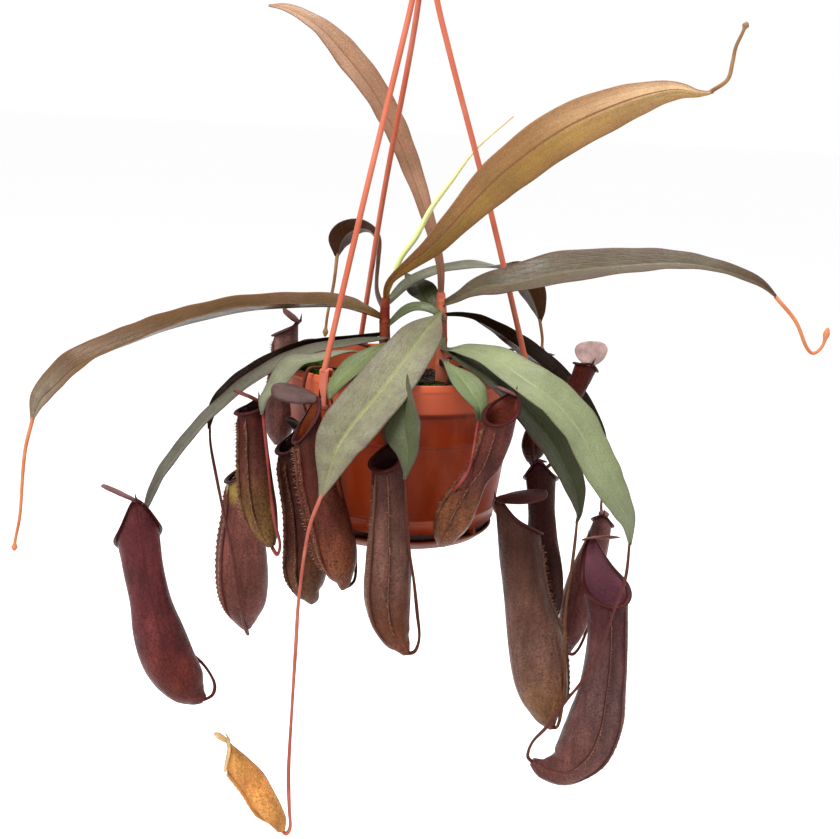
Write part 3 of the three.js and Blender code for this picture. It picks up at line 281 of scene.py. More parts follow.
# skin near the mouth, in the middle and at the foot, inside, lid
SKIN = {
    "far_left": ((80, 16, 18), (80, 16, 17), (80, 14, 10), (50, 15, 20), (85, 30, 30)),
    "left_low": ((300, 210, 50), (150, 50, 38), (115, 37, 30), (30, 8, 8), (60, 20, 18)),
    "left_tall": ((50, 11, 8), (75, 22, 15), (140, 70, 21), (20, 5, 5), (70, 16, 12)),
    "left_front": ((55, 12, 8), (75, 17, 10), (120, 36, 16), (240, 50, 14), (50, 24, 21)),
    "left_mid": ((28, 7, 5), (45, 12, 8), (80, 30, 12), (15, 4, 4), (25, 8, 7)),
    "centre": ((50, 18, 14), (120, 54, 40), (90, 24, 8), (30, 8, 8), (50, 20, 18)),
    "front_right": ((60, 15, 12), (80, 22, 17), (140, 50, 20), (110, 22, 12), (80, 30, 28)),
    "right_big": ((40, 13, 8), (110, 50, 36), (140, 62, 26), (20, 6, 6), (45, 12, 10)),
    "right_behind": ((24, 4, 3), (32, 6, 4), (45, 12, 7), (15, 4, 4), (30, 8, 7)),
    "far_right": ((60, 17, 18), (100, 48, 44), (95, 32, 26), (160, 55, 75), (100, 30, 18)),
    "far_right_back": ((140, 55, 48), (150, 50, 42), (130, 40, 34), (40, 10, 10), (130, 55, 50)),
    "upper_right": ((50, 6, 3), (40, 5, 3), (35, 9, 5), (40, 10, 10), (360, 240, 220)),
    "upper_right_back": ((60, 20, 15), (50, 15, 10), (50, 15, 10), (30, 8, 8), (50, 18, 15)),
    "upper_left": ((130, 60, 50), (120, 50, 42), (100, 40, 30), (30, 8, 8), (60, 18, 14)),
    "young": ((440, 200, 55), (440, 185, 50), (420, 190, 50), (400, 250, 100), (450, 280, 130)),
}


def tone(thousandths):
    return tuple(v / 1000 for v in thousandths)


# ---- curves and meshes --------------------------------------------------------------
def spline(rows, n):
    """A smooth curve through the rows, as n + 1 rows."""
    last = len(rows) - 1
    out = []
    for q in range(n + 1):
        u = q * last / n
        i = min(int(u + 1e-9), last - 1)
        f = u - i
        b, c = rows[i], rows[i + 1]
        a = rows[i - 1] if i > 0 else [2 * v - w for v, w in zip(b, c)]
        d = rows[i + 2] if i + 2 <= last else [2 * v - w for v, w in zip(c, b)]
        out.append([0.5 * (2 * p + (r - o) * f + (2 * o - 5 * p + 4 * r - s) * f * f
                           + (3 * p - o - 3 * r + s) * f ** 3) for o, p, r, s in zip(a, b, c, d)])
    return out


def carried(pts, start):
    """Directions along the points, and a normal carried along them without twist."""
    last = len(pts) - 1
    tan = [(pts[min(i + 1, last)] - pts[max(i - 1, 0)]).normalized() for i in range(last + 1)]
    nor, n = [], Vector(start)
    for t in tan:
        n = (n - t * n.dot(t)).normalized()
        nor.append(n)
    return tan, nor


def bump_at(x, y, z):
    return noise.noise(Vector((x, y, z)))


class Build:
    """Points, faces, path lines and numbers on points, gathered into one mesh."""

    def __init__(self):
        self.verts, self.edges, self.faces, self.mats = [], [], [], []
        self.numbers = {"along": [], "across": [], "kind": []}
        self.marked = {"thick": {}, "hair": {}, "out": {}}

    def pt(self, p, *numbers):
        self.verts.append((p[0] / 1000, p[1] / 1000, (p[2] - BEAR_Z) / 1000))
        for values, v in zip(self.numbers.values(), (*numbers, 0, 0, 0)):
            values.append(v)
        return len(self.verts) - 1

    def face(self, ids, mat=0):
        self.faces.append(ids)
        self.mats.append(mat)

    def grid(self, rows, mat=0, loop=False, flip=False):
        for a, b in zip(rows, rows[1:]):
            n = len(a)
            for j in range(n if loop else n - 1):
                k = (j + 1) % n
                q = (a[j], a[k], b[k], b[j])
                self.face(q[::-1] if flip else q, mat)

    def cap(self, ring, mat=0, flip=False):
        self.face(tuple(ring[::-1]) if flip else tuple(ring), mat)

    def closed(self, loops, mat=0):
        """A skin over closed loops, with both ends shut."""
        self.grid(loops, mat, True)
        self.cap(loops[0], mat, True)
        self.cap(loops[-1], mat)

    def lathe(self, profile, sides):
        rings = []
        for k in range(sides):
            a = TAU * k / sides
            rings.append([self.pt((r * cos(a), r * sin(a), z), k / sides, i / len(profile))
                          for i, (r, z) in enumerate(profile)])
        for a, b in zip(rings, rings[1:] + rings[:1]):
            for i in range(len(profile)):
                j = (i + 1) % len(profile)
                if profile[i][0] or profile[j][0]:
                    self.face((a[i], b[i], b[j], a[j]))

    def path(self, pts, radii, kind=0):
        """A line of points for the path tree to give its skin."""
        last = len(pts) - 1
        ids = [self.pt(p, i / last, 0, kind) for i, p in enumerate(pts)]
        self.marked["thick"].update((k, r / 1000) for k, r in zip(ids, radii))
        self.edges += list(zip(ids, ids[1:]))

    def make(self, node, mats, slot, weld=True, grown=()):
        me = bpy.data.meshes.new(node + "_fine")
        me.from_pydata(self.verts, self.edges, self.faces)
        for label, values in self.numbers.items():
            me.attributes.new(label, "FLOAT", "POINT").data.foreach_set("value", values)
        for label, values in self.marked.items():
            if values:
                kind, field = ("FLOAT_VECTOR", "vector") if label == "out" else ("FLOAT", "value")
                data = me.attributes.new(label, kind, "POINT").data
                for k, v in values.items():
                    setattr(data[k], field, v)
        for m in mats:
            me.materials.append(m)
        me.polygons.foreach_set("material_index", self.mats)
        me.polygons.foreach_set("use_smooth", [True] * len(me.polygons))
        me.update()
        ob = bpy.data.objects.new(node + "_fine", me)
        bpy.context.scene.collection.objects.link(ob)
        if weld:
            bm = bmesh.new()
            bm.from_mesh(me)
            bmesh.ops.remove_doubles(bm, verts=bm.verts, dist=1e-6)
            bmesh.ops.recalc_face_normals(bm, faces=bm.faces)
            bm.to_mesh(me)
            bm.free()
        for tree, values in grown:
            tree.grow(ob, values)
        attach(ob, "root")
        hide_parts(node)


# ---- Geometry Nodes trees for what repeats or follows a path -------------------------
class Tree:
    """A tree with named inputs; it ends in Realize Instances and Set Material."""

    def __init__(self, name, **inputs):
        self.group = bpy.data.node_groups.new(name, "GeometryNodeTree")
        new = self.group.interface.new_socket
        new("Geometry", in_out="OUTPUT", socket_type="NodeSocketGeometry")
        self.ids = {label: new(label, in_out="INPUT", socket_type="NodeSocket" + kind).identifier
                    for label, kind in {"Geometry": "Geometry", **inputs}.items()}
        self.given = self.group.nodes.new("NodeGroupInput").outputs
        self.result = self.group.nodes.new("NodeGroupOutput").inputs[0]

    def add(self, kind, ins, **props):
        """A node with its inputs linked or set; gives its first output."""
        n = self.group.nodes.new(kind)
        for k, v in props.items():
            setattr(n, k, v)
        for k, v in ins.items():
            for w in (v if isinstance(v, list) else [v]):
                if isinstance(w, bpy.types.NodeSocket):
                    self.group.links.new(w, n.inputs[k])
                else:
                    n.inputs[k].default_value = w
        return n.outputs[0]

    def attr(self, name, kind="FLOAT"):
        return self.add("GeometryNodeInputNamedAttribute", {"Name": name}, data_type=kind)

    def more(self, a, b):
        return self.add("FunctionNodeCompare", {0: a, 1: b}, data_type="FLOAT", operation="GREATER_THAN")

    def spread(self, low, high, seed):
        """A random vector for each point."""
        return self.add("FunctionNodeRandomValue", {0: low, 1: high, "Seed": seed}, data_type="FLOAT_VECTOR")

    def xyz(self, x=0.0, y=0.0, z=0.0):
        return self.add("ShaderNodeCombineXYZ", {0: x, 1: y, 2: z})

    def stand(self, points, bit, turn, **more):
        more = {k.title(): v for k, v in more.items()}
        return self.add("GeometryNodeInstanceOnPoints",
                        {"Points": points, "Instance": bit, "Rotation": turn, **more})

    def marked(self, part, value, domain):
        return self.add("GeometryNodeStoreNamedAttribute", {"Geometry": part, "Name": "bit", "Value": value},
                        data_type="FLOAT", domain=domain)

    def end(self, bits, base=None, domain="INSTANCE"):
        """Join the bits to the base, and finish the bits alone."""
        base = self.marked(base or self.given["Geometry"], 0.0, "POINT")
        both = self.add("GeometryNodeJoinGeometry", {0: [base, self.marked(bits, 1.0, domain)]})
        out = self.add("GeometryNodeRealizeInstances", {"Geometry": both})
        is_bit = self.more(self.attr("bit"), 0.5)
        finish = {"Finish": is_bit}
        if "Shaded" in self.ids:
            finish["Shaded"] = self.add("FunctionNodeBooleanMath", operation="AND",
                                        ins={0: is_bit, 1: self.more(self.attr("kind"), 0.5)})
        for label, chosen in finish.items():
            out = self.add("GeometryNodeSetMaterial", {"Geometry": out, "Selection": chosen,
                                                       "Material": self.given[label]})
        self.group.links.new(out, self.result)
        return self

    def grow(self, ob, values):
        """Run the tree on an object, and keep the result as its plain mesh."""
        mod = ob.modifiers.new(self.group.name, "NODES")
        mod.node_group = self.group
        for label, value in values.items():
            mod[self.ids[label]] = value
        bpy.context.view_layer.update()
        graph = bpy.context.evaluated_depsgraph_get()
        me = bpy.data.meshes.new_from_object(ob.evaluated_get(graph))
        ob.modifiers.clear()
        ob.data = me


def surface_tree(name, bit_kind, sizes, **props):
    """Small bits strewn over the faces that look up."""
    t = Tree(name, Density="Float", Upright="Float", Smallest="Vector", Largest="Vector", Against="Vector",
             Lean="Vector", Seed="Int", Finish="Material", Shaded="Material")
    up = t.add("ShaderNodeSeparateXYZ", {0: t.add("GeometryNodeInputNormal", {})}).node.outputs["Z"]
    spots = t.add("GeometryNodeDistributePointsOnFaces", {
        "Mesh": t.given["Geometry"], "Selection": t.more(up, t.given["Upright"]),
        "Density": t.given["Density"], "Seed": t.given["Seed"]}).node.outputs
    lean = t.spread(t.given["Against"], t.given["Lean"], 3)
    tilt = t.add("FunctionNodeRotateRotation", {0: spots["Rotation"], 1: lean}, rotation_space="LOCAL")
    size = t.spread(t.given["Smallest"], t.given["Largest"], 5)
    return t.end(t.stand(spots["Points"], t.add(bit_kind, sizes, **props), tilt, scale=size))


def bristle_tree():
    """A hair on every marked point, along its own direction, some way off it at random."""
    t = Tree("bristles", Shortest="Float", Longest="Float", Thickness="Float", Stray="Float", Seed="Int",
             Finish="Material")
    stray = t.add("ShaderNodeVectorMath", {0: t.spread((-1, -1, -1), (1, 1, 1), t.given["Seed"]),
                                           "Scale": t.given["Stray"]}, operation="SCALE")
    way = t.add("ShaderNodeVectorMath", {0: t.attr("out", "FLOAT_VECTOR"), 1: stray})
    turn = t.add("FunctionNodeAlignRotationToVector", {"Vector": way}, axis="Z")
    tall = t.add("FunctionNodeRandomValue", {2: t.given["Shortest"], 3: t.given["Longest"], "Seed": 2},
                 data_type="FLOAT").node.outputs[1]
    tall = t.add("ShaderNodeMath", {0: t.attr("hair"), 1: tall}, operation="MULTIPLY")
    hair = t.add("GeometryNodeMeshCone",
                 {"Vertices": 3, "Radius Top": 0.05, "Radius Bottom": 1.0, "Depth": 1.0}, fill_type="NGON")
    return t.end(t.stand(t.given["Geometry"], hair, turn, selection=t.more(t.attr("hair"), 0.01),
                         scale=t.xyz(t.given["Thickness"], t.given["Thickness"], tall)))


def ring_tree():
    """Ribs that stand in a ring, each along its own radius."""
    t = Tree("ring of ribs", Count="Int", Radius="Float", Height="Float", Turn="Vector", Rib="Vector",
             Finish="Material")
    ring = t.add("GeometryNodeMeshCircle", {"Vertices": t.given["Count"], "Radius": t.given["Radius"]})
    outward = t.add("GeometryNodeInputPosition", {})
    turn = t.add("FunctionNodeAlignRotationToVector", {"Vector": outward}, axis="X")
    ribs = t.stand(ring, t.add("GeometryNodeMeshCube", {"Size": t.given["Rib"]}), turn)
    return t.end(t.add("GeometryNodeTransform", {"Geometry": ribs, "Rotation": t.given["Turn"],
                                                 "Translation": t.xyz(z=t.given["Height"])}))


def path_tree():
    """A round skin along each marked line, as thick as the line's points say."""
    t = Tree("tube along a path", Sides="Int", Finish="Material")
    is_line = t.more(t.attr("thick"), 0.0)
    parts = t.add("GeometryNodeSeparateGeometry", {0: t.given["Geometry"], "Selection": is_line},
                  domain="POINT").node.outputs
    line = t.add("GeometryNodeMeshToCurve", {0: parts[0]})
    ring = t.add("GeometryNodeCurvePrimitiveCircle", {"Resolution": t.given["Sides"], "Radius": 1.0})
    tube = t.add("GeometryNodeCurveToMesh", {"Curve": line, "Profile Curve": ring, "Scale": t.attr("thick"),
                                             "Fill Caps": True})
    tube = t.add("GeometryNodeSetShadeSmooth", {0: tube, "Shade Smooth": True})
    return t.end(tube, parts[1], "POINT")


TUBE, BRISTLES = path_tree(), bristle_tree()


# ---- materials ----------------------------------------------------------------------
class Val:
    """A socket in a material, with arithmetic."""

    def __init__(self, mat, sock):
        self.mat, self.sock = mat, sock

    def __mul__(self, other):
        return self.mat.op("MULTIPLY", self, other)

    def __add__(self, other):
        return self.mat.op("ADD", self, other)

    def __sub__(self, other):
        return self.mat.op("SUBTRACT", self, other)

    def __rsub__(self, other):
        return self.mat.op("SUBTRACT", other, self)

    def __abs__(self):
        return self.mat.op("ABSOLUTE", self)


class Mat:
    """A Principled material, and short ways to add its nodes."""

    def __init__(self, name, rough, gloss=0.5):
        self.material = bpy.data.materials.new(name)
        self.material.use_nodes = True
        self.tree = self.material.node_tree
        self.shader = self.tree.nodes["Principled BSDF"]
        self.shader.inputs["Roughness"].default_value = rough
        self.shader.inputs["Specular IOR Level"].default_value = gloss
        self.place = self.node("TexCoord", {}, "Object")

    def put(self, sock, v):
        if isinstance(v, Val):
            self.tree.links.new(v.sock, sock)
        elif isinstance(v, tuple) and len(v) == 3 and len(sock.default_value) == 4:
            sock.default_value = (*v, 1)
        else:
            sock.default_value = v

    def node(self, kind, ins, out=0, **props):
        n = self.tree.nodes.new("ShaderNode" + kind)
        for k, v in props.items():
            setattr(n, k, v)
        for k, v in ins.items():
            self.put(n.inputs[k], v)
        return Val(self, n.outputs[out])

    def attr(self, name):
        return self.node("Attribute", {}, "Fac", attribute_name=name)

    def op(self, kind, a, b=0.0):
        return self.node("Math", {0: a, 1: b}, operation=kind)

    def mix(self, f, a, b, mode="MIX"):
        return self.node("Mix", {0: f, 6: a, 7: b}, 2, data_type="RGBA", blend_type=mode)

    def ramp(self, f, *stops):
        ramp = self.node("ValToRGB", {0: f})
        el = ramp.sock.node.color_ramp.elements
        while len(el) < len(stops):
            el.new(0.5)
        for e, (p, c) in zip(el, stops):
            e.position = p
            e.color = (*c, 1) if isinstance(c, tuple) else (c, c, c, 1)
        return ramp

    def noise(self, scale, detail=3.0, rough=0.55, stretch=None, distort=0.0):
        place = self.node("Mapping", {0: self.place, "Scale": stretch}) if stretch else self.place
        return self.node("TexNoise", {"Vector": place, "Scale": scale, "Detail": detail, "Roughness": rough,
                                      "Distortion": distort}, "Fac")

    def band(self, v, lo, hi):
        """0 below lo, 1 above hi, eased between."""
        return self.node("MapRange", {0: v, 1: lo, 2: hi, 3: 0.0, 4: 1.0}, interpolation_type="SMOOTHSTEP")

    def done(self, colour, bump=None, depth=0.0, rough=None):
        self.put(self.shader.inputs["Base Color"], colour)
        if bump:
            normal = self.node("Bump", {"Strength": 1.0, "Distance": depth, "Height": bump})
            self.put(self.shader.inputs["Normal"], normal)
        if rough:
            self.put(self.shader.inputs["Roughness"], rough)
        return self.material


def leaf_mat(leaf):
    *colours, mottle = LEAF_LOOK[leaf]
    base, mid, tip, rib_tone, margin, under_tone = map(tone, colours)
    m = Mat("leaf_" + leaf + "_skin", 0.4, 0.14)
    along, across, kind = m.attr("along"), m.attr("across"), m.attr("kind")
    wide = abs(across)
    outer = tone(OUTER_THIRD[leaf]) if leaf in OUTER_THIRD else mid
    edge = tone(EDGE[leaf]) if leaf in EDGE else margin
    col = m.ramp(along, (0.0, base), (0.28, mid), (0.5, mid), (0.74, outer), (1.0, tip))
    if leaf in SHADED_HALF:
        # painted shade on one half of the blade
        col = m.mix(m.band(across, 0.0, 0.2) * 0.75, col, tone(SHADED_HALF[leaf]))
    # broad light and dark drifts; a painted sheen, the blade darker toward the margin so its middle reads
    # pale; patches and flecks, stronger toward the margin
    col = m.mix(0.55, col, m.ramp(m.noise(38, 4, 0.6), (0.32, 0.36), (0.68, 0.66)), "OVERLAY")
    beyond_painted_sheen = m.band(wide, 0.35, 1.0)
    # painted sheen: margin colour laid over the outer blade, leaving the middle lighter
    col = m.mix(beyond_painted_sheen * 0.45, col, margin)
    col = m.mix(m.band(m.noise(75, 6, 0.68), 0.47, 0.62) * mottle, col, margin)
    fleck = m.band(m.noise(480, 4, 0.7), 0.5, 0.66)
    col = m.mix(fleck * beyond_painted_sheen * min(1.0, mottle * 1.6), col, margin)
    # long veins beside the midrib, fine slanting ones across, pale scratches, the midrib itself
    long_vein = m.band(m.op("COSINE", wide * 21.0), 0.86, 1.0)
    fine_vein = m.band(m.op("SINE", along * 150.0 + wide * 26.0), 0.8, 1.0)
    scratch = m.band(m.noise(310, 5, 0.75, None, 2.5), 0.58, 0.68)
    rib = 1.0 - m.band(wide, 0.025, 0.08)
    for what, much in ((long_vein, 0.1), (fine_vein, 0.04), (scratch, 0.05 + 0.15 * mottle), (rib, 0.85)):
        col = m.mix(what * much, col, rib_tone)
    rim = m.band(wide, 0.94, 0.99)
    col = m.mix(rim * 0.7, col, edge)
    # kind: 0 upper side, 1 underside
    under = m.mix(rib * 0.5, under_tone, rib_tone)
    under = m.mix(m.band(m.noise(160, 4), 0.4, 0.7) * 0.25, under, margin)
    under = m.mix(rim * 0.8, under, edge)
    col = m.mix(m.band(kind, 0.45, 0.55), col, under)
    col = m.mix(0.35, col, m.ramp(m.noise(1100, 3, 0.7), (0.3, 0.2), (0.7, 0.8)), "OVERLAY")
    height = long_vein * -0.25 + fine_vein * -0.16 + m.noise(420, 4, 0.6) * 0.55
    return m.done(col, height, 0.00045, m.ramp(m.noise(120, 4, 0.6), (0.3, 0.24), (0.7, 0.48)))


def pitcher_mat(name, top, mid, low, inner, speck, keel, hold):
    """hold: how far up the middle colour reaches, from 0 at the foot to 1 at the mouth."""
    m = Mat(name, 0.4, 0.07)
    along, across, kind = m.attr("along"), abs(m.attr("across")), m.attr("kind")
    col = m.ramp(along, (0.0, low), (0.34, low), (0.6, mid), (hold, mid),
                 (max(0.92, hold + 0.08), top), (1.0, top))
    veil = m.ramp(m.noise(42, 5, 0.62), (0.33, 0.3), (0.67, 0.7))
    streak = m.ramp(m.noise(190, 5, 0.65, (1, 1, 0.14)), (0.35, 0.26), (0.68, 0.74))
    grain = m.ramp(m.noise(900, 4, 0.7), (0.36, 0.24), (0.64, 0.76))
    for what, much in ((veil, 0.7), (streak, 0.6), (grain, 0.55)):
        col = m.mix(much, col, what, "OVERLAY")
    fade = 1.0 - m.band(along, 0.6, 1.0)
    dots = m.band(m.noise(760, 3, 0.55), 0.53, 0.62)
    col = m.mix(dots * fade * 0.6, col, speck)
    cells = m.node("TexVoronoi", {"Scale": 260, "Vector": m.place}, "Distance")
    col = m.mix((1.0 - m.band(cells, 0.14, 0.3)) * fade * 0.35, col, speck)
    # dark lines along the feet of the wings and down the back
    wing_foot = 1.0 - m.band(abs(across - WING_MARK), 0.02, 0.09)
    col = m.mix(wing_foot * 0.7, col, keel)
    col = m.mix(m.band(across, 3.02, 3.12) * 0.6, col, keel)
    # kind: 0 wall, 1 inside, 2 tendril
    col = m.mix(m.band(kind, 0.4, 0.6), col, inner)
    col = m.mix(m.band(kind, 1.4, 1.6), col, m.mix(m.noise(200, 2), keel, low))
    bump = m.noise(420, 5, 0.65) * 0.9 + m.noise(130, 3, 0.5, (1, 1, 0.16)) * 1.1 + m.noise(1300, 2) * 0.45
    return m.done(col, bump, 0.0009, m.ramp(m.noise(140, 4, 0.6), (0.3, 0.22), (0.7, 0.46)))


def plastic_mat(name, base, light, dark, rim=None):
    """Moulded plastic. With a rim colour, also a painted highlight, the rim band lighter than the wall, and
    painted shade under the rim, along the beads and at the foot.
    """
    m = Mat(name, 0.42, 0.12)
    col = m.mix(m.band(m.noise(14, 4), 0.35, 0.7), base, dark)
    if rim:
        z = m.node("SeparateXYZ", {0: m.place}, "Z")
        under_rim, rim_edge, foot_low, foot_top = [
            (v - BEAR_Z) / 1000 for v in (-RIM_BAND - 2, -RIM_BAND + 2, WALL_LOW_Z - 0.6, WALL_LOW_Z + 0.1)]
        # painted light: the rim band and all above it take the lighter rim colour
        col = m.mix(m.band(z, under_rim, rim_edge), col, rim)
        # painted shade: a dark line under the rim and under each bead
        for at, half, much in SHADE_LINES:
            line = 1.0 - m.band(abs(z - (at - BEAR_Z) / 1000), 0.0, half / 1000)
            col = m.mix(line * much, col, (0.07, 0.006, 0.002))
        # painted shade: the foot, down in the gap inside the saucer, goes near black
        col = m.mix((1.0 - m.band(z, foot_low, foot_top)) * 0.92, col, (0.006, 0.002, 0.001))
    col = m.mix(m.band(m.noise(40, 6, 0.7, (1, 1, 0.35)), 0.5, 0.72) * 0.35, col, light)
    col = m.mix(m.band(m.noise(700, 3, 0.7), 0.6, 0.74) * 0.25, col, light)
    bump = m.noise(60, 2, 0.5, (0.05, 0.05, 14)) * 0.5 + m.noise(1100, 2) * 0.25
    return m.done(col, bump, 0.00012, m.ramp(m.noise(35, 4), (0.3, 0.34), (0.75, 0.56)))


def simple_mat(name, a, b, scale, rough, depth=0.0003):
    """Two colours in soft patches."""
    m = Mat(name, rough, 0.1)
    col = m.mix(m.band(m.noise(scale, 4), 0.35, 0.68), a, b)
    col = m.mix(m.band(m.noise(scale * 6, 3), 0.5, 0.7) * 0.3, col, a)
    return m.done(col, m.noise(scale * 4, 4), depth,
                  m.ramp(m.noise(scale * 2, 2), (0.3, rough - 0.08), (0.7, min(1, rough + 0.1))))


def collar_mat():
    m = Mat("collar", 0.3, 0.1)
    ribs = m.band(m.op("SINE", m.attr("across") * 300.0), -0.2, 0.9)
    return m.done(m.mix(ribs * 0.55, (0.03, 0.004, 0.004), (0.1, 0.016, 0.014)), ribs, 0.0001)


def spear_mat():
    m = Mat("spear_skin", 0.45, 0.4)
    col = m.ramp(m.attr("along"), (0.0, (0.35, 0.4, 0.1)), (0.5, (0.62, 0.66, 0.28)), (0.9, (0.66, 0.6, 0.3)),
                 (1.0, (0.5, 0.25, 0.1)))
    col = m.mix(m.noise(300, 3, 0.5, (1, 1, 0.2)) * 0.25, col, (0.3, 0.36, 0.08))
    return m.done(col, m.noise(500, 2, 0.5, (1, 1, 0.15)), 0.0002)


# the pot's rim colour is painted light, lighter than the wall's tone
TERRA = plastic_mat("terracotta_plastic", (0.26, 0.03, 0.004), (0.36, 0.075, 0.025), (0.19, 0.018, 0.002),
                    (0.42, 0.08, 0.035))
SAUCER = plastic_mat("saucer_plastic", (0.13, 0.017, 0.003), (0.2, 0.045, 0.018), (0.09, 0.01, 0.002))
SALMON = plastic_mat("hanger_plastic", (0.40, 0.105, 0.06), (0.5, 0.19, 0.14), (0.34, 0.07, 0.035))
SOIL = simple_mat("bark_mix", (0.012, 0.007, 0.004), (0.035, 0.021, 0.013), 160, 0.9, 0.0012)
MOSS = simple_mat("moss_blades", (0.05, 0.095, 0.006), (0.14, 0.24, 0.02), 140, 0.85)
# painted shade: a darker copy of the moss for the cushion past SHADED_FROM
MOSS_SHADED = simple_mat("moss_painted_shade", (0.008, 0.014, 0.003), (0.03, 0.05, 0.01), 140, 0.9)
STEM = {"left": simple_mat("stem_dark", (0.12, 0.016, 0.006), (0.2, 0.035, 0.015), 70, 0.4),
        "right": simple_mat("stem_light", (0.34, 0.075, 0.04), (0.46, 0.14, 0.08), 70, 0.4)}
SPEAR_SKIN = spear_mat()
COLLAR = collar_mat()
PINK = simple_mat("tendril_skin", (0.28, 0.06, 0.04), (0.36, 0.11, 0.075), 70, 0.4)
PEACH = simple_mat("tendril_pale", (0.4, 0.12, 0.045), (0.48, 0.18, 0.08), 70, 0.45)
ROSE = simple_mat("tendril_rose", (0.13, 0.016, 0.014), (0.2, 0.04, 0.035), 90, 0.4)
BROWN = simple_mat("tendril_brown", (0.16, 0.07, 0.03), (0.24, 0.13, 0.06), 70, 0.5)
BRISTLE = simple_mat("wing_bristle", (0.2, 0.09, 0.045), (0.36, 0.22, 0.12), 300, 0.6)


# ---- pot and saucer -----------------------------------------------------------------
def wall_r(z):
    return WALL_TOP_R + (WALL_LOW_R - WALL_TOP_R) * (z + RIM_BAND) / (WALL_LOW_Z + RIM_BAND)


def bead(z, half, out):
    """A round line on the wall, as profile points."""
    points = []
    for t in (-1 + k / 4 for k in range(9)):
        swell = out * cos(t * pi / 2) ** 0.7 if abs(t) < 1 else 0
        points.append((wall_r(z + t * half) + swell, z + t * half))
    return points


def softened(profile, r=0.35, steps=3):
    """Round each corner of a closed (radius, height) outline."""
    out = []
    n = len(profile)
    for i, p in enumerate(profile):
        a, b = profile[i - 1], profile[(i + 1) % n]
        if p[0] == 0:
            out.append(p)
            continue
        p, a, b = Vector(p), Vector(a), Vector(b)
        da, db = (a - p), (b - p)
        k = min(r, da.length * 0.4, db.length * 0.4)
        pa, pb = p + da.normalized() * k, p + db.normalized() * k
        for s in range(steps + 1):
            t = s / steps
            q = pa * (1 - t) ** 2 + p * 2 * t * (1 - t) + pb * t * t
            out.append((q.x, q.y))
    return out


POT_SIDES = 160
# height, half height, how far out
LOW_BEAD, TOP_BEAD = (-84, 1.5, 0.9), (-37, 1.3, 0.7)
pot = Build()
foot = [(0, POT_FLOOR_Z), (FOOT_R - 1, POT_FLOOR_Z), (FOOT_R, POT_FLOOR_Z + 1), (FOOT_R, WALL_LOW_Z),
        (WALL_LOW_R, WALL_LOW_Z)]
rim_and_inside = [
    (WALL_TOP_R, -RIM_BAND), (RIM_R - 1.3, -RIM_BAND), (RIM_R - 0.5, -5), (RIM_R, -3.5), (RIM_R - 0.6, 0),
    (RIM_R - 2.6, 0), (RIM_R - 3.4, -4), (RIM_R - 3.8, -RIM_BAND + 1), (WALL_TOP_R - WALL_T, -RIM_BAND - 2),
    (WALL_LOW_R - WALL_T - 1.8, WALL_LOW_Z + 2), (FOOT_R - WALL_T, WALL_LOW_Z),
    (FOOT_R - WALL_T, POT_FLOOR_Z + WALL_T), (0, POT_FLOOR_Z + WALL_T)]
pot.lathe(softened(foot) + bead(*LOW_BEAD) + bead(*TOP_BEAD) + softened(rim_and_inside), POT_SIDES)
RIB_LOW, RIB_HIGH = SAUCER_TOP_Z + 0.4, WALL_LOW_Z + 0.2
pot.make("pot", [TERRA, SAUCER], "terracotta", True, [(ring_tree(), {
    "Count": 8, "Radius": (FOOT_R + 1.2) / 1000, "Height": ((RIB_LOW + RIB_HIGH) / 2 - BEAR_Z) / 1000,
    "Turn": (0, 0, rad(8)), "Rib": (0.004, 0.0024, (RIB_HIGH - RIB_LOW) / 1000), "Finish": SAUCER})])

dish = Build()
dish.lathe(softened([
    (0, SAUCER_LOW_Z), (SAUCER_R - 6.5, SAUCER_LOW_Z), (SAUCER_R - 1, SAUCER_TOP_Z - 2.2),
    (SAUCER_R, SAUCER_TOP_Z - 1), (SAUCER_R, SAUCER_TOP_Z), (SAUCER_R - 1.6, SAUCER_TOP_Z),
    (SAUCER_R - 2.4, SAUCER_TOP_Z - 1.8), (SAUCER_R - 7, SAUCER_LOW_Z + 1.6),
    (0, SAUCER_LOW_Z + 1.6)], 0.5), POT_SIDES)
dish.make("saucer", [SAUCER], "terracotta")

# ---- hanger -------------------------------------------------------------------------
HOOK_R, HOOK_STEPS, HOOK_TAPER = 3, 90, 6
hub = Build()
hook = spline([[0, 0, HUB_Z - 3], [0.5, 0, 254], [8, 0, 259], [13, 0, 265], [13.5, 0, 272], [9.5, 0, 281.5],
               [0, 0, 285.5], [-9.5, 0, 281.5], [-13.5, 0, 272], [-13, 0, 265]], HOOK_STEPS)
hub.path(hook, [HOOK_R - 0.9 * (max(0, i - HOOK_STEPS + HOOK_TAPER) / HOOK_TAPER) ** 2
                for i in range(HOOK_STEPS + 1)])
hub.lathe(softened([(0, HUB_Z - 5), (5, HUB_Z - 5), (7, HUB_Z - 3), (7, HUB_Z + 1), (3, HUB_Z + 5),
                    (0, HUB_Z + 5)], 0.8), 48)
hub.make("hanger_hook", [SALMON], "terracotta", True, [(TUBE, {"Sides": 20, "Finish": SALMON})])

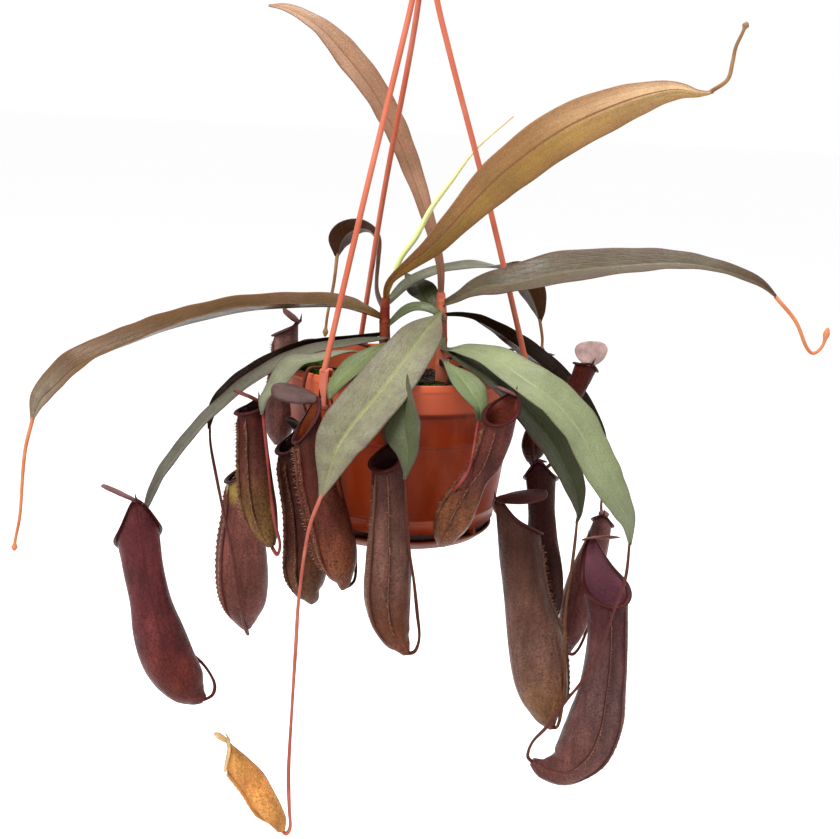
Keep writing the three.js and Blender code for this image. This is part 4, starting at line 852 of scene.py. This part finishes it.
# the clip over the rim: its outline (radius, height), its middle, and its width with softened edges
CLIP = [(76.8, 4.2), (74.6, 5.4), (71.6, 5.2), (69.6, 3.4), (69.3, -6), (70.7, -6), (71, 2.4), (72.2, 3.6),
        (74.4, 3.7), (75.4, 2.2), (75.5, -15.5), (74.2, -17.4), (73.4, -17.4), (73.4, -18.8), (75, -18.8),
        (77, -16.4)]
CLIP_MIDDLE = Vector((73.2, 3))
CLIP_SLICES = ((-2.8, 0.25), (-2.6, 0.1), (-2.2, 0), (2.2, 0), (2.6, 0.1), (2.8, 0.25))
for rod, (az, off, aside) in RODS.items():
    b = Build()
    turn = Matrix.Rotation(rad(az), 3, "Z")
    path = spline([[75.6, 0, 3.5], [72.8 + off / 2, 0, 13], [45.3 + off, 0, 102], [18.4 + off, aside, 184],
                   [7 + off, aside, 222], [4.6 + off / 2, aside, HUB_Z - 1]], 60)
    b.path([turn @ Vector(p) for p in path], [ROD_R] * len(path))
    loops = []
    for y, shrink in CLIP_SLICES:
        outline = [(Vector(p) - (Vector(p) - CLIP_MIDDLE).normalized() * shrink)[:] for p in CLIP]
        loops.append([b.pt(turn @ Vector((x, y, z))) for x, z in softened(outline, 0.45)])
    b.closed(loops)
    b.make("hanger_rod_" + rod, [SALMON], "terracotta", True, [(TUBE, {"Sides": 16, "Finish": SALMON})])

# ---- soil, moss, stems --------------------------------------------------------------
SOIL_SIDES, SOIL_SKIRT = 96, 5
bed = Build()
bed_profile = [
    (FOOT_R - WALL_T - 0.3, POT_FLOOR_Z + WALL_T + 0.3), (FOOT_R - WALL_T - 0.3, WALL_LOW_Z + 0.4),
    (WALL_LOW_R - WALL_T - 2.6, WALL_LOW_Z + 2.2), (WALL_TOP_R - WALL_T - 0.9, -RIM_BAND - 3),
    (WALL_TOP_R - WALL_T - 1.2, SOIL_Z - 3), (62, -14.4), (57, -13.6), (52, -13), (46, -12.4), (40, -11.8),
    (34, -11.2), (28, -10.6), (22, -10.4), (16, -10.2), (10, -10.1), (5, -10), (0.5, -10)]
loops = []
for i, (r, z) in enumerate(bed_profile):
    ring = []
    for k in range(SOIL_SIDES):
        x, y = r * cos(TAU * k / SOIL_SIDES), r * sin(TAU * k / SOIL_SIDES)
        lump = 1.3 * bump_at(x * 0.16, y * 0.16, 3) if i >= SOIL_SKIRT else 0
        ring.append(bed.pt((x, y, z + lump)))
    loops.append(ring)
bed.closed(loops)
bed.make("soil", [SOIL], "soil", True, [(
    surface_tree("bark chips", "GeometryNodeMeshCube", {"Size": (1, 1, 1)}),
    {"Density": 36000.0, "Upright": 0.7, "Smallest": (0.0016, 0.0012, 0.0006),
     "Largest": (0.0056, 0.0034, 0.0018), "Against": (-0.4, -0.4, 0), "Lean": (0.4, 0.4, 6.28), "Seed": 4,
     "Finish": SOIL, "Shaded": SOIL})])

moss = Build()
line = spline(CUSHION, 100)
loops = []
for i, (az, w, h) in enumerate(line):
    k = 0.3 if i in (0, 100) else min(1, 0.3 + 0.7 * sin(pi * i / 100) * 4)
    east, north = cos(rad(az)), sin(rad(az))
    # past SHADED_FROM the moss and its blades take the painted shade copy
    shaded = 1 if az > SHADED_FROM else 0
    ring = []
    for j in range(16):
        t = j / 15
        r = CUSHION_R - t * (w + 4)
        z = -14 + 1.2 * (1 - t) + (1.5 * h * k + 1.5) * sin(pi * min(t * 1.05 + 0.12, 1)) ** 0.7
        z += 0.5 * bump_at(r * 0.5, az * 0.4, 1)
        ring.append(moss.pt((r * east, r * north, z), 0, 0, shaded))
    loops.append(ring + [moss.pt((r * east, r * north, -14.6)) for r in (CUSHION_R - w - 4, CUSHION_R)])
moss.closed(loops)
moss.make("moss", [MOSS, MOSS_SHADED], "moss", True, [(
    surface_tree("moss blades", "GeometryNodeMeshCone",
                 {"Vertices": 4, "Radius Top": 0.0, "Radius Bottom": 0.5, "Depth": 1.0}, fill_type="NONE"),
    {"Density": 2200000.0, "Upright": 0.0, "Smallest": (0.0003, 0.0003, 0.0012),
     "Largest": (0.0006, 0.0006, 0.0028), "Against": (-1.0, -1.0, 0), "Lean": (1.0, 1.0, 6.28), "Seed": 2,
     "Finish": MOSS, "Shaded": MOSS_SHADED})])

for stem, rows in STEMS.items():
    b = Build()
    line = spline(rows, 90)
    b.path(line, [p[3] * (1 + 0.07 * max(0, sin(i * 0.42)) ** 6) for i, p in enumerate(line)])
    b.make("stem_" + stem, [STEM[stem]], "stem", False, [(TUBE, {"Sides": 28, "Finish": STEM[stem]})])

# ---- leaves -------------------------------------------------------------------------
HALF_STEPS, LEAST_STEPS, STEP = 9, 36, 2.2
BLADE_T = 0.42
LEAF_SLOT = {"top_left": "copper", "top_right": "copper", "long_brown": "brown", "left_brown": "brown",
             "back_left": "brown"}


def leaf(name):
    rows = LEAVES[name]
    seed = sum(map(ord, "leaf_" + name))
    length = sum((Vector(a[:3]) - Vector(b[:3])).length for a, b in zip(rows, rows[1:]))
    n = max(LEAST_STEPS, int(length / STEP))
    line = spline(rows, n)
    tan, nor = carried([Vector(p[:3]) for p in line], (0, -1, 0.3) if name in STEEP else (0, 0, 1))
    b = Build()
    top, bottom = [], []
    for i, (x, y, z, w, turn) in enumerate(line):
        t = i / n
        w = max(w, 0.7)
        up = nor[i] * cos(rad(turn)) + tan[i].cross(nor[i]) * sin(rad(turn))
        side = tan[i].cross(up)
        dip = DEEPER_FOLD.get(name, FOLD) * w
        upper, lower = [], []
        for j in range(-HALF_STEPS, HALF_STEPS + 1):
            s = j / HALF_STEPS
            e = abs(s)
            u = dip * (1.3 * e ** 1.15 - 0.3) + 0.03 * w * sin(pi * e)
            wave = bump_at(t * length * 0.045, seed + (3 if s > 0 else 0), 0.4)
            u += 0.075 * w * wave * e * e + 0.02 * w * sin(t * length * 0.32 + seed) * e ** 3
            thick = BLADE_T * (1 - 0.55 * e ** 3)
            groove = 0.28 * exp(-(s * w / 0.9) ** 2) if w > 2 else 0
            q = Vector((x, y, z)) + side * (s * w) + up * u
            upper.append(b.pt(q + up * (thick - groove), t, s, 0))
            lower.append(b.pt(q - up * (thick + groove * 2.0), t, s, 1))
        top.append(upper)
        bottom.append(lower)
    b.grid(top, 0, flip=True)
    b.grid(bottom, 0)
    for k in (0, -1):
        for i in range(n):
            q = (top[i][k], top[i + 1][k], bottom[i + 1][k], bottom[i][k])
            b.face(q if k == 0 else q[::-1])
    for e in (0, n):
        for j in range(2 * HALF_STEPS):
            q = (top[e][j], top[e][j + 1], bottom[e][j + 1], bottom[e][j])
            b.face(q[::-1] if e == 0 else q)
    b.make("leaf_" + name, [leaf_mat(name)], LEAF_SLOT.get(name, "green"))


for name in LEAVES:
    leaf(name)

spear = Build()
spear.path(spline(SPEAR, 70), [w[0] for w in spline([[r] for r in SPEAR_R], 70)])
spear.make("leaf_new_spear", [SPEAR_SKIN], "spear", False, [(TUBE, {"Sides": 20, "Finish": SPEAR_SKIN})])

# ---- pitchers -----------------------------------------------------------------------
ROSE_TENDRIL = ("left_tall", "front_right")
WIDE_COLLAR = ("far_right", "far_left", "centre")
BIG_FRINGE = ("left_tall", "left_mid", "left_low", "centre")
RINGS, SIDES, COLLAR_STEPS, COLLAR_SIDES = 72, 56, 168, 12
NECK_FROM, WINGS_FROM, WALL, LEAST_R = 0.62, 0.24, 0.9, 3.2
SKIN_SLOT, COLLAR_SLOT, WING_SLOT, LID_SLOT = range(4)
LID_ROWS, LID_HALF = 20, 7
SPUR_R, SPUR_SIDES = (0.8, 0.75, 0.7, 0.6, 0.5, 0.4, 0.3, 0.2, 0.1), 8


class Pitcher:
    """An open cup with its collar, lid, spur, wings and tendril."""

    def __init__(self, name):
        self.name = name
        self.front, self.slope, self.lid_way, self.lid_half, self.neck = SHAPE[name]
        self.line = spline(PITCHERS[name], RINGS)
        self.r = [p[3] for p in self.line]
        self.pts = [Vector(p[:3]) for p in self.line]
        self.tan, _ = carried(self.pts, (1, 0, 0))
        self.fore = [(Vector(self.front) - t * Vector(self.front).dot(t)).normalized() for t in self.tan]
        self.seed = sum(map(ord, "pitcher_" + name))
        self.b = Build()

    def at(self, i, a, r, lift=0):
        """A point beside ring i, at angle a from the wings' side; the mouth slopes and the neck rises."""
        x = min(max((i / RINGS - NECK_FROM) / (1 - NECK_FROM), 0), 1)
        back = max(0, -cos(a)) ** 4
        up = (-self.slope * cos(a) + self.neck * back) * self.r[i] * x * x + lift
        side = self.tan[i].cross(self.fore[i])
        return self.pts[i] + self.fore[i] * cos(a) * r + side * sin(a) * r + self.tan[i] * up

    def ring(self, i, r, lift=0, kind=0, rough=0):
        out = []
        for j in range(SIDES):
            a = TAU * j / SIDES
            d = rough * bump_at(cos(a) * 2, sin(a) * 2, i * 0.09 + self.seed)
            out.append(self.b.pt(self.at(i, a, r + d, lift), i / RINGS, a if a <= pi else a - TAU, kind))
        return out

    def cup(self):
        outer = [self.ring(i, r, rough=0.45 if 6 < i < RINGS - 8 else 0) for i, r in enumerate(self.r)]
        self.b.grid(outer, SKIN_SLOT, True)
        self.b.cap(outer[0], SKIN_SLOT, True)
        inner = [self.ring(i, self.r[i] - WALL, 0.2 if i == RINGS else 0, 1)
                 for i in range(RINGS, 20, -3) if self.r[i] > LEAST_R]
        self.b.grid([outer[-1]] + inner, SKIN_SLOT, True)
        self.b.cap(inner[-1])

    def collar(self):
        """Ribbed, and rolled outward."""
        loops = []
        for j in range(COLLAR_STEPS):
            a = TAU * j / COLLAR_STEPS
            wide = (1.75 if self.name in WIDE_COLLAR else 1.5) + 0.2 * cos(a) + 0.12 * (j % 2)
            loop = []
            for k in range(COLLAR_SIDES):
                c = TAU * k / COLLAR_SIDES
                r = self.r[-1] + 0.35 + wide * cos(c) * 0.95
                loop.append(self.b.pt(self.at(RINGS, a, r, 0.75 + 0.85 * sin(c) - 0.25 * cos(c)), 1, a, 3))
            loops.append(loop)
        self.b.grid(loops + loops[:1], COLLAR_SLOT, True)

    def lid(self):
        """A domed blade with a keel beneath, and the spur behind it."""
        tan, fore, r = self.tan[-1], self.fore[-1], self.r[-1]
        apex = self.at(RINGS, pi, r, 0.8)
        size = Vector(self.lid_way).length
        d = Vector(self.lid_way).normalized()
        across = Vector(self.lid_half) if self.lid_half else tan.cross(fore)
        half = across.length if self.lid_half else min(size * 0.5, r * 1.25)
        across = (across - d * across.dot(d)).normalized()
        face = d.cross(across)
        if face.dot(tan) < 0:
            face = -face
        top, bottom = [], []
        for i in range(LID_ROWS + 1):
            u = i / LID_ROWS
            c = pi * u
            w = half * max(sin(c), 0.02) ** 0.8 * (1 - 0.25 * cos(c))
            upper, lower = [], []
            for j in range(-LID_HALF, LID_HALF + 1):
                s = j / LID_HALF
                dome = 0.9 * (1 - s * s) * sin(c) - 0.7 * s * s + 0.35 * bump_at(u * 4, s * 3, self.seed)
                keel = 0.35 * exp(-(s * 9) ** 2)
                q = apex + d * (size / 2 * (1 - cos(c)) - 1) + across * (s * w) + face * dome
                upper.append(self.b.pt(q + face * 0.3, u, s, 4))
                lower.append(self.b.pt(q - face * (0.3 + keel), u, s, 4))
            top.append(upper)
            bottom.append(lower)
        self.b.grid(top, LID_SLOT)
        self.b.grid(bottom, LID_SLOT, flip=True)
        for i in range(LID_ROWS):
            self.b.face((top[i][0], top[i + 1][0], bottom[i + 1][0], bottom[i][0]), LID_SLOT)
            self.b.face((bottom[i][-1], bottom[i + 1][-1], top[i + 1][-1], top[i][-1]), LID_SLOT)
        self.spur(apex, d)

    def spur(self, apex, d):
        tan, fore = self.tan[-1], self.fore[-1]
        bends = (apex - d * 1.2 - fore * 0.5, apex - fore * 1.8 + tan * 2.2, apex - fore * 2.2 + tan * 5)
        pts = [Vector(p) for p in spline([p[:] for p in bends], len(SPUR_R) - 1)]
        steep = abs((pts[1] - pts[0]).normalized().z) > 0.8
        tan, nor = carried(pts, (1, 0, 0) if steep else (0, 0, 1))
        turns = [TAU * j / SPUR_SIDES for j in range(SPUR_SIDES)]
        self.b.closed([[self.b.pt(p + nor[i] * cos(a) * r + tan[i].cross(nor[i]) * sin(a) * r,
                                  i / (len(SPUR_R) - 1)) for a in turns]
                       for i, (p, r) in enumerate(zip(pts, SPUR_R))], COLLAR_SLOT)

    def wings(self):
        """Two toothed strips, with their tips marked for bristles."""
        b, tall = self.b, 2.6 if self.name in BIG_FRINGE else 2.0
        for hand in (-1, 1):
            a = hand * WING_TURN
            prev = None
            for i in range(int(RINGS * WINGS_FROM), RINGS):
                t = (i / RINGS - WINGS_FROM) / (1 - WINGS_FROM)
                env = min(1, t * 6) * min(1, (1 - t) * 9)
                tooth = (0.6 + 0.4 * abs(sin(i * 1.57 + self.seed))) * tall * env
                root = self.at(i, a, self.r[i] - 0.3)
                out = self.at(i, a, self.r[i] + 1) - self.at(i, a, self.r[i])
                flat = self.tan[i].cross(out).normalized() * 0.22
                tip = root + out * (tooth + 0.3)
                now = [b.pt(p, i / RINGS, WING_MARK) for p in
                       (root - flat * 1.6, root + flat * 1.6, tip + flat * 0.4, tip - flat * 0.4)]
                if prev:
                    b.grid([prev, now], WING_SLOT, True)
                prev = now
                if env > 0.5:
                    for k, along in ((now[2], 0.35), (now[3], -0.25)):
                        b.marked["hair"][k], b.marked["out"][k] = tall, out + self.tan[i] * along

    def tendril(self, thin):
        foot, above = PITCHERS[self.name][0][:3], PITCHERS[self.name][1][:3]
        way = TENDRILS[self.name] + [foot, [0.75 * v + 0.25 * w for v, w in zip(foot, above)]]
        steps = 10 * len(way)
        self.b.path(spline(way, steps), [thin + 0.25 * (i / steps) + 0.12 * sin(i * 0.23 + self.seed)
                                         for i in range(steps + 1)], 2)

    def make(self):
        name, young = "pitcher_" + self.name, self.name == "young"
        self.cup()
        self.collar()
        self.lid()
        self.wings()
        self.tendril(0.95 if young else 0.85)
        top, mid, low, inside, cap = map(tone, SKIN[self.name])
        speck = (0.3, 0.09, 0.02) if young else tuple(0.35 * v for v in mid)
        keel = (0.26, 0.07, 0.02) if young else (0.05, 0.008, 0.006)
        hold = 0.86 if self.name == "left_low" else 0.62
        skin = pitcher_mat(name + "_skin", top, mid, low, inside, speck, keel, hold)
        lid_skin = simple_mat(name + "_lid", tuple(0.8 * v for v in cap), tuple(min(1, 1.3 * v) for v in cap),
                              130, 0.4, 0.0005)
        wing_skin = simple_mat(name + "_wing", tuple(0.8 * v for v in mid),
                               tuple(0.5 * (v + w) + 0.01 for v, w in zip(mid, low)), 150, 0.5)
        tendril_skin = PINK if young else ROSE if self.name in ROSE_TENDRIL else skin
        self.b.make(name, [skin, lid_skin if young else COLLAR, wing_skin, lid_skin, tendril_skin],
                    "amber" if young else "maroon", False,
                    [(TUBE, {"Sides": 12, "Finish": tendril_skin}),
                     (BRISTLES, {"Shortest": 0.0006, "Longest": 0.0014, "Thickness": 0.00014, "Stray": 0.5,
                                 "Seed": self.seed, "Finish": BRISTLE})])


for name in PITCHERS:
    Pitcher(name).make()

BUD_AT, BUD_LENGTH = 0.93, 0.045
for name, skin in (("top_right", BROWN), ("right", PEACH), ("back_right", BROWN), ("left", PEACH),
                   ("back_left", BROWN)):
    b = Build()
    radii = [1.25 - 0.35 * t + 1.1 * exp(-((t - BUD_AT) / BUD_LENGTH) ** 2) - (0.5 if t == 1 else 0)
             for t in (i / 60 for i in range(61))]
    b.path(spline(BARE_TENDRILS[name], 60), radii)
    b.make("tendril_" + name, [skin], "pink", False, [(TUBE, {"Sides": 14, "Finish": skin})])

# ---- floor, light, camera -----------------------------------------------------------
FLOOR_Z, FLOOR_HALF = -0.72, 60
me = bpy.data.meshes.new("floor")
me.from_pydata([(x * FLOOR_HALF, y * FLOOR_HALF, FLOOR_Z) for x, y in ((-1, -1), (1, -1), (1, 1), (-1, 1))],
               [], [(0, 1, 2, 3)])
floor = bpy.data.objects.new("floor", me)
white = Mat("floor_white", 0.9)
me.materials.append(white.done(white.mix(white.noise(0.4, 2), (0.98, 0.98, 0.98), (0.99, 0.99, 0.99))))
bpy.context.scene.collection.objects.link(floor)

world = bpy.data.worlds.new("studio")
bpy.context.scene.world = world
world.use_nodes = True
world.node_tree.nodes["Background"].inputs[0].default_value = (1, 1, 1, 1)
world.node_tree.nodes["Background"].inputs[1].default_value = 1.0


def area(name, loc, aim, size, power):
    light = bpy.data.lights.new(name, "AREA")
    light.size = size
    light.energy = power
    ob = bpy.data.objects.new(name, light)
    ob.location = loc
    ob.rotation_euler = (Vector(aim) - Vector(loc)).to_track_quat("-Z", "Y").to_euler()
    bpy.context.scene.collection.objects.link(ob)


area("key", (-0.55, -0.75, 0.95), (0, 0, -0.3), 0.6, 30)
area("top", (0.35, 0.25, 1.1), (0, 0, -0.25), 0.7, 22)

# the picture's width, the lens in its pixels, the distance, and where the rim's centre lies in it
WIDE_PX, MID_PX, LENS_PX, DIST, RIM_PX = 840, (420, 419.5), 1383, 860, (403.6, 363.1)
PITCH, ROLL, SENSOR = rad(12.27), rad(2.91), 36
ahead = Vector((0, cos(PITCH), -sin(PITCH)))
upright, level = Vector((0, sin(PITCH), cos(PITCH))), Vector((1, 0, 0))
right = level * cos(ROLL) + upright * sin(ROLL)
up = upright * cos(ROLL) - level * sin(ROLL)
eye = (-ahead * DIST - right * ((RIM_PX[0] - MID_PX[0]) / LENS_PX * DIST)
       - up * ((MID_PX[1] - RIM_PX[1]) / LENS_PX * DIST))
lens = bpy.data.cameras.new("camera")
lens.sensor_width = SENSOR
lens.lens = LENS_PX / WIDE_PX * SENSOR
camera = bpy.data.objects.new("camera", lens)
place = Matrix((right, up, -ahead)).transposed().to_4x4()
place.translation = (eye - Vector((0, 0, BEAR_Z))) / 1000
camera.matrix_world = place
bpy.context.scene.collection.objects.link(camera)
bpy.context.scene.camera = camera
view = bpy.context.scene.view_settings
view.view_transform = "Standard"
view.look = "None"
view.exposure = 0.0
